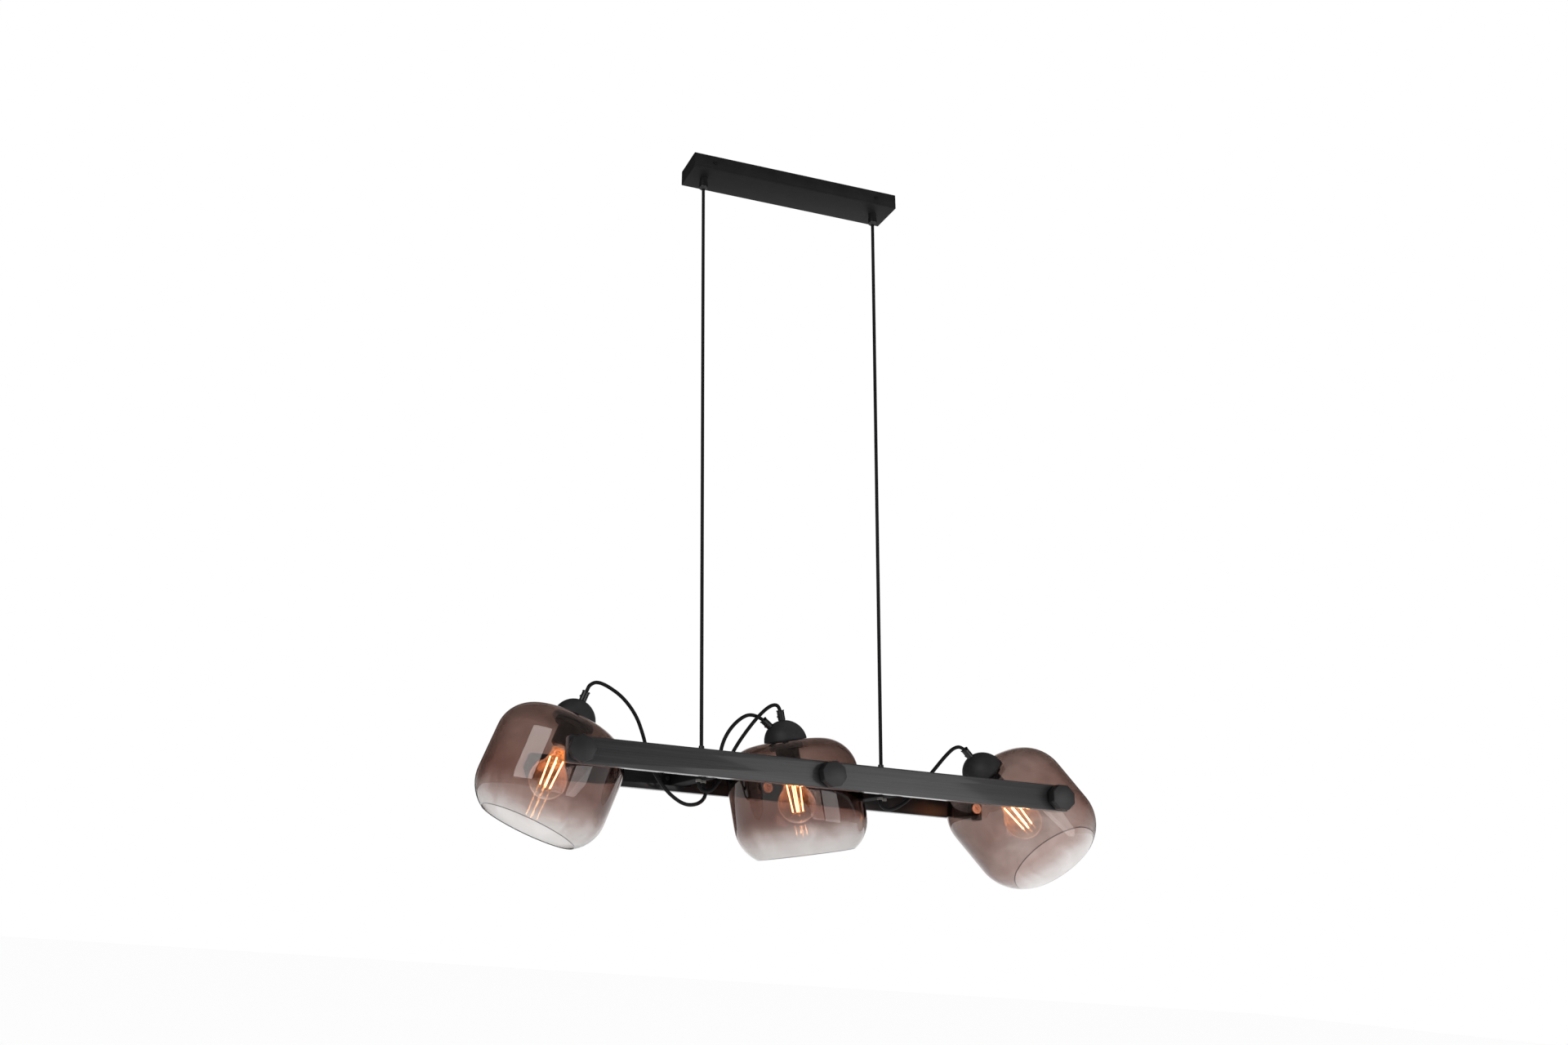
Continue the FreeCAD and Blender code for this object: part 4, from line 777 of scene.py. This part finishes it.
def bulb_glass(head):
    """Clear glass of one head's bulb, with a painted warm glow near the cap and a painted pale
    outline.
    """
    material, nodes, links, shader = blank_material(f"bulb_glass_{head}")
    own, along = places_in_head(nodes, links, head)
    streaks = noise(nodes, links, own, 90, detail=3, distortion=1.5)
    # Painted glow: the glass itself shines warm near the cap, standing for the filaments' light on
    # it.
    painted_glow = ramped(nodes, links, along["Z"], -0.052, 0.004)
    streaked = ramped(nodes, links, streaks, 0.4, 0.66, 0.2, 0.6)
    painted_glow = calculate(nodes, links, "MULTIPLY", painted_glow, streaked)
    # Painted highlight: a pale shine along the bulb's outline, where the glass is seen edge-on.
    edge_on = nodes.new("ShaderNodeLayerWeight")
    painted_outline_highlight = calculate(nodes, links, "POWER", edge_on.outputs["Facing"], 7)
    painted_glow_colour = nodes.new("ShaderNodeMix")
    painted_glow_colour.data_type = "RGBA"
    feed(links, painted_glow_colour, {"Factor": painted_outline_highlight, "A": (0.9, 0.33, 0.08, 1), "B": (1, 0.86, 0.74, 1)})
    feed(links, shader, {"Base Color": (1, 0.985, 0.96, 1), "Transmission Weight": 1,
                         "Roughness": 0, "IOR": 1.45,
                         "Emission Color": painted_glow_colour.outputs["Result"],
                         "Emission Strength": calculate(nodes, links, "MAXIMUM", painted_glow,
                                                        painted_outline_highlight)})
    return material


def stick(start, end, radius, finish_number, segments=14):
    """A thin round rod from one point to another."""
    start, end = Vector(start), Vector(end)
    shape = bmesh.new()
    bmesh.ops.create_cone(shape, cap_ends=True, segments=segments, radius1=radius,
                          radius2=radius, depth=(end - start).length)
    for face in shape.faces:
        face.material_index = finish_number
    turn = (end - start).to_track_quat("Z", "Y").to_matrix().to_4x4()
    return moved(shape, Matrix.Translation((start + end) / 2) @ turn)


# How far each bulb is screwed round, in degrees.
BULB_TURNS = {"left": -15, "middle": -16, "right": -35}
CAP_THREAD_FOOT, CAP_PITCH, CAP_TURNS = 19, 4.2, 4
FILAMENTS, FILAMENT_TOP, FILAMENT_FOOT, WIRE_FOOT = 4, -1, -47, -49
TOP_SPREAD, FOOT_SPREAD = 11, 8.3
for head in HEADS:
    envelope = turned((0, -65), [(0, -35, -131.75), (48.17, 8, 41.75), (13.6, 14), (12.8, 14),
                                 (12.8, 8), (48.17, 8, -41.75), (0, -35, 131.75)], 72)
    pendant_piece(f"{head}_bulb", moved(envelope, hung[head]), f"head_{head}", "clear_glass",
                  [bulb_glass(head)], f"{head}_bulb_glass", crease=60)
    threads = [(radius, CAP_THREAD_FOOT + CAP_PITCH * step + rise) for step in range(CAP_TURNS)
               for radius, rise in ((13.2, 0), (13.2, 1.1), (12.5, 2.1), (12.5, 3.1))]
    cap = turned((0, 14.05), [(13.9, 14.05), (14.1, 14.3), (14.1, 15.8), (13.2, 17), *threads,
                              (13.2, 35.8), (4.5, 40.8), (4.5, 41.6), (3.9, 42), (0, 42)], 64)
    pendant_piece(f"{head}_cap", moved(cap, hung[head]), f"head_{head}", "cap_metal",
                  [cap_metal], f"{head}_bulb_cap")
    stem = turned((0, -6), [(3, -5.4), (4, -3.6), (4, 4), (5.2, 8.5), (9.5, 13.9), (0, 13.9)],
                  32)
    lights = [stem, stick((0, 0, -5), (0, 0, WIRE_FOOT), 0.35, 1, 8)]
    for number in range(FILAMENTS):
        bearing = math.radians(BULB_TURNS[head] + 360 / FILAMENTS * number)
        out = Vector((math.cos(bearing), math.sin(bearing), 0))
        top = out * TOP_SPREAD + Vector((0, 0, FILAMENT_TOP))
        foot = out * FOOT_SPREAD + Vector((0, 0, FILAMENT_FOOT))
        lights.append(stick(top, foot, 1.05, 2))
        lights.append(stick((0, 0, WIRE_FOOT), foot, 0.3, 1, 8))
        lights.append(stick((0, 0, -1.5), top, 0.35, 1, 8))
    pendant_piece(f"{head}_filaments", moved(gather(*lights), hung[head]), f"head_{head}",
                  "filament", [stem_glass, support, lit_filament], f"{head}_bulb_filaments")


# Pivots: a bright metal bolt with a wide cross-recessed head comes out through the glass and
# the bar between rubber washers. An octagonal black knob on its end clamps the shade's tilt.
# The bolt heads' copper colour is painted reflection: it stands for the bulbs' warm light in them.
dress(finish("bulb_glow_tinted_metal", (0.86, 0.5, 0.33), 0.28, metal=1.0, grain=500),
      "left_pivot_bolts", "middle_pivot_bolts", "right_pivot_bolts")
dress(rubber, "left_pivot_washers", "middle_pivot_washers", "right_pivot_washers")
knob_paint = finish("knob_paint", (0.0175, 0.0169, 0.0179), 0.42, specular=0.34, grain=1100,
                    relief=0.25)
# A knob's middle to its corners, its thickness, and how far its middle is from the pendant's.
KNOB_CORNER, KNOB_THICKNESS, KNOB_MIDDLE = 20.56, 14, 139
for head in HEADS:
    knobs = []
    for way in (TO_FRONT, TO_BACK):
        knob = bmesh.new()
        bmesh.ops.create_cone(knob, cap_ends=True, segments=8, radius1=KNOB_CORNER,
                              radius2=KNOB_CORNER, depth=KNOB_THICKNESS)
        knob.normal_update()
        soften(knob, edges_along(knob, 2), 0.5, 2)
        face_edges = [edge for edge in sharp_edges(knob) if edge.verts[0].co.z > 0]
        soften(knob, face_edges, 1.2, 2)
        back_edges = [edge for edge in sharp_edges(knob) if edge.verts[0].co.z < 0]
        soften(knob, back_edges, 0.8)
        flat_up = Matrix.Rotation(math.radians(22.5), 4, "Z")
        moved(knob, Matrix.Translation((0, 0, KNOB_MIDDLE)) @ flat_up)
        neck = turned((0, 128.2), [(10.6, 128.2), (11, 128.6), (11, 132.4), (0, 132.4)], 56)
        knobs.append(moved(gather(knob, neck), way))
    pendant_piece(f"{head}_knobs", moved(gather(*knobs), hung[head]), f"head_{head}",
                  "black_metal", [knob_paint], f"{head}_knobs")
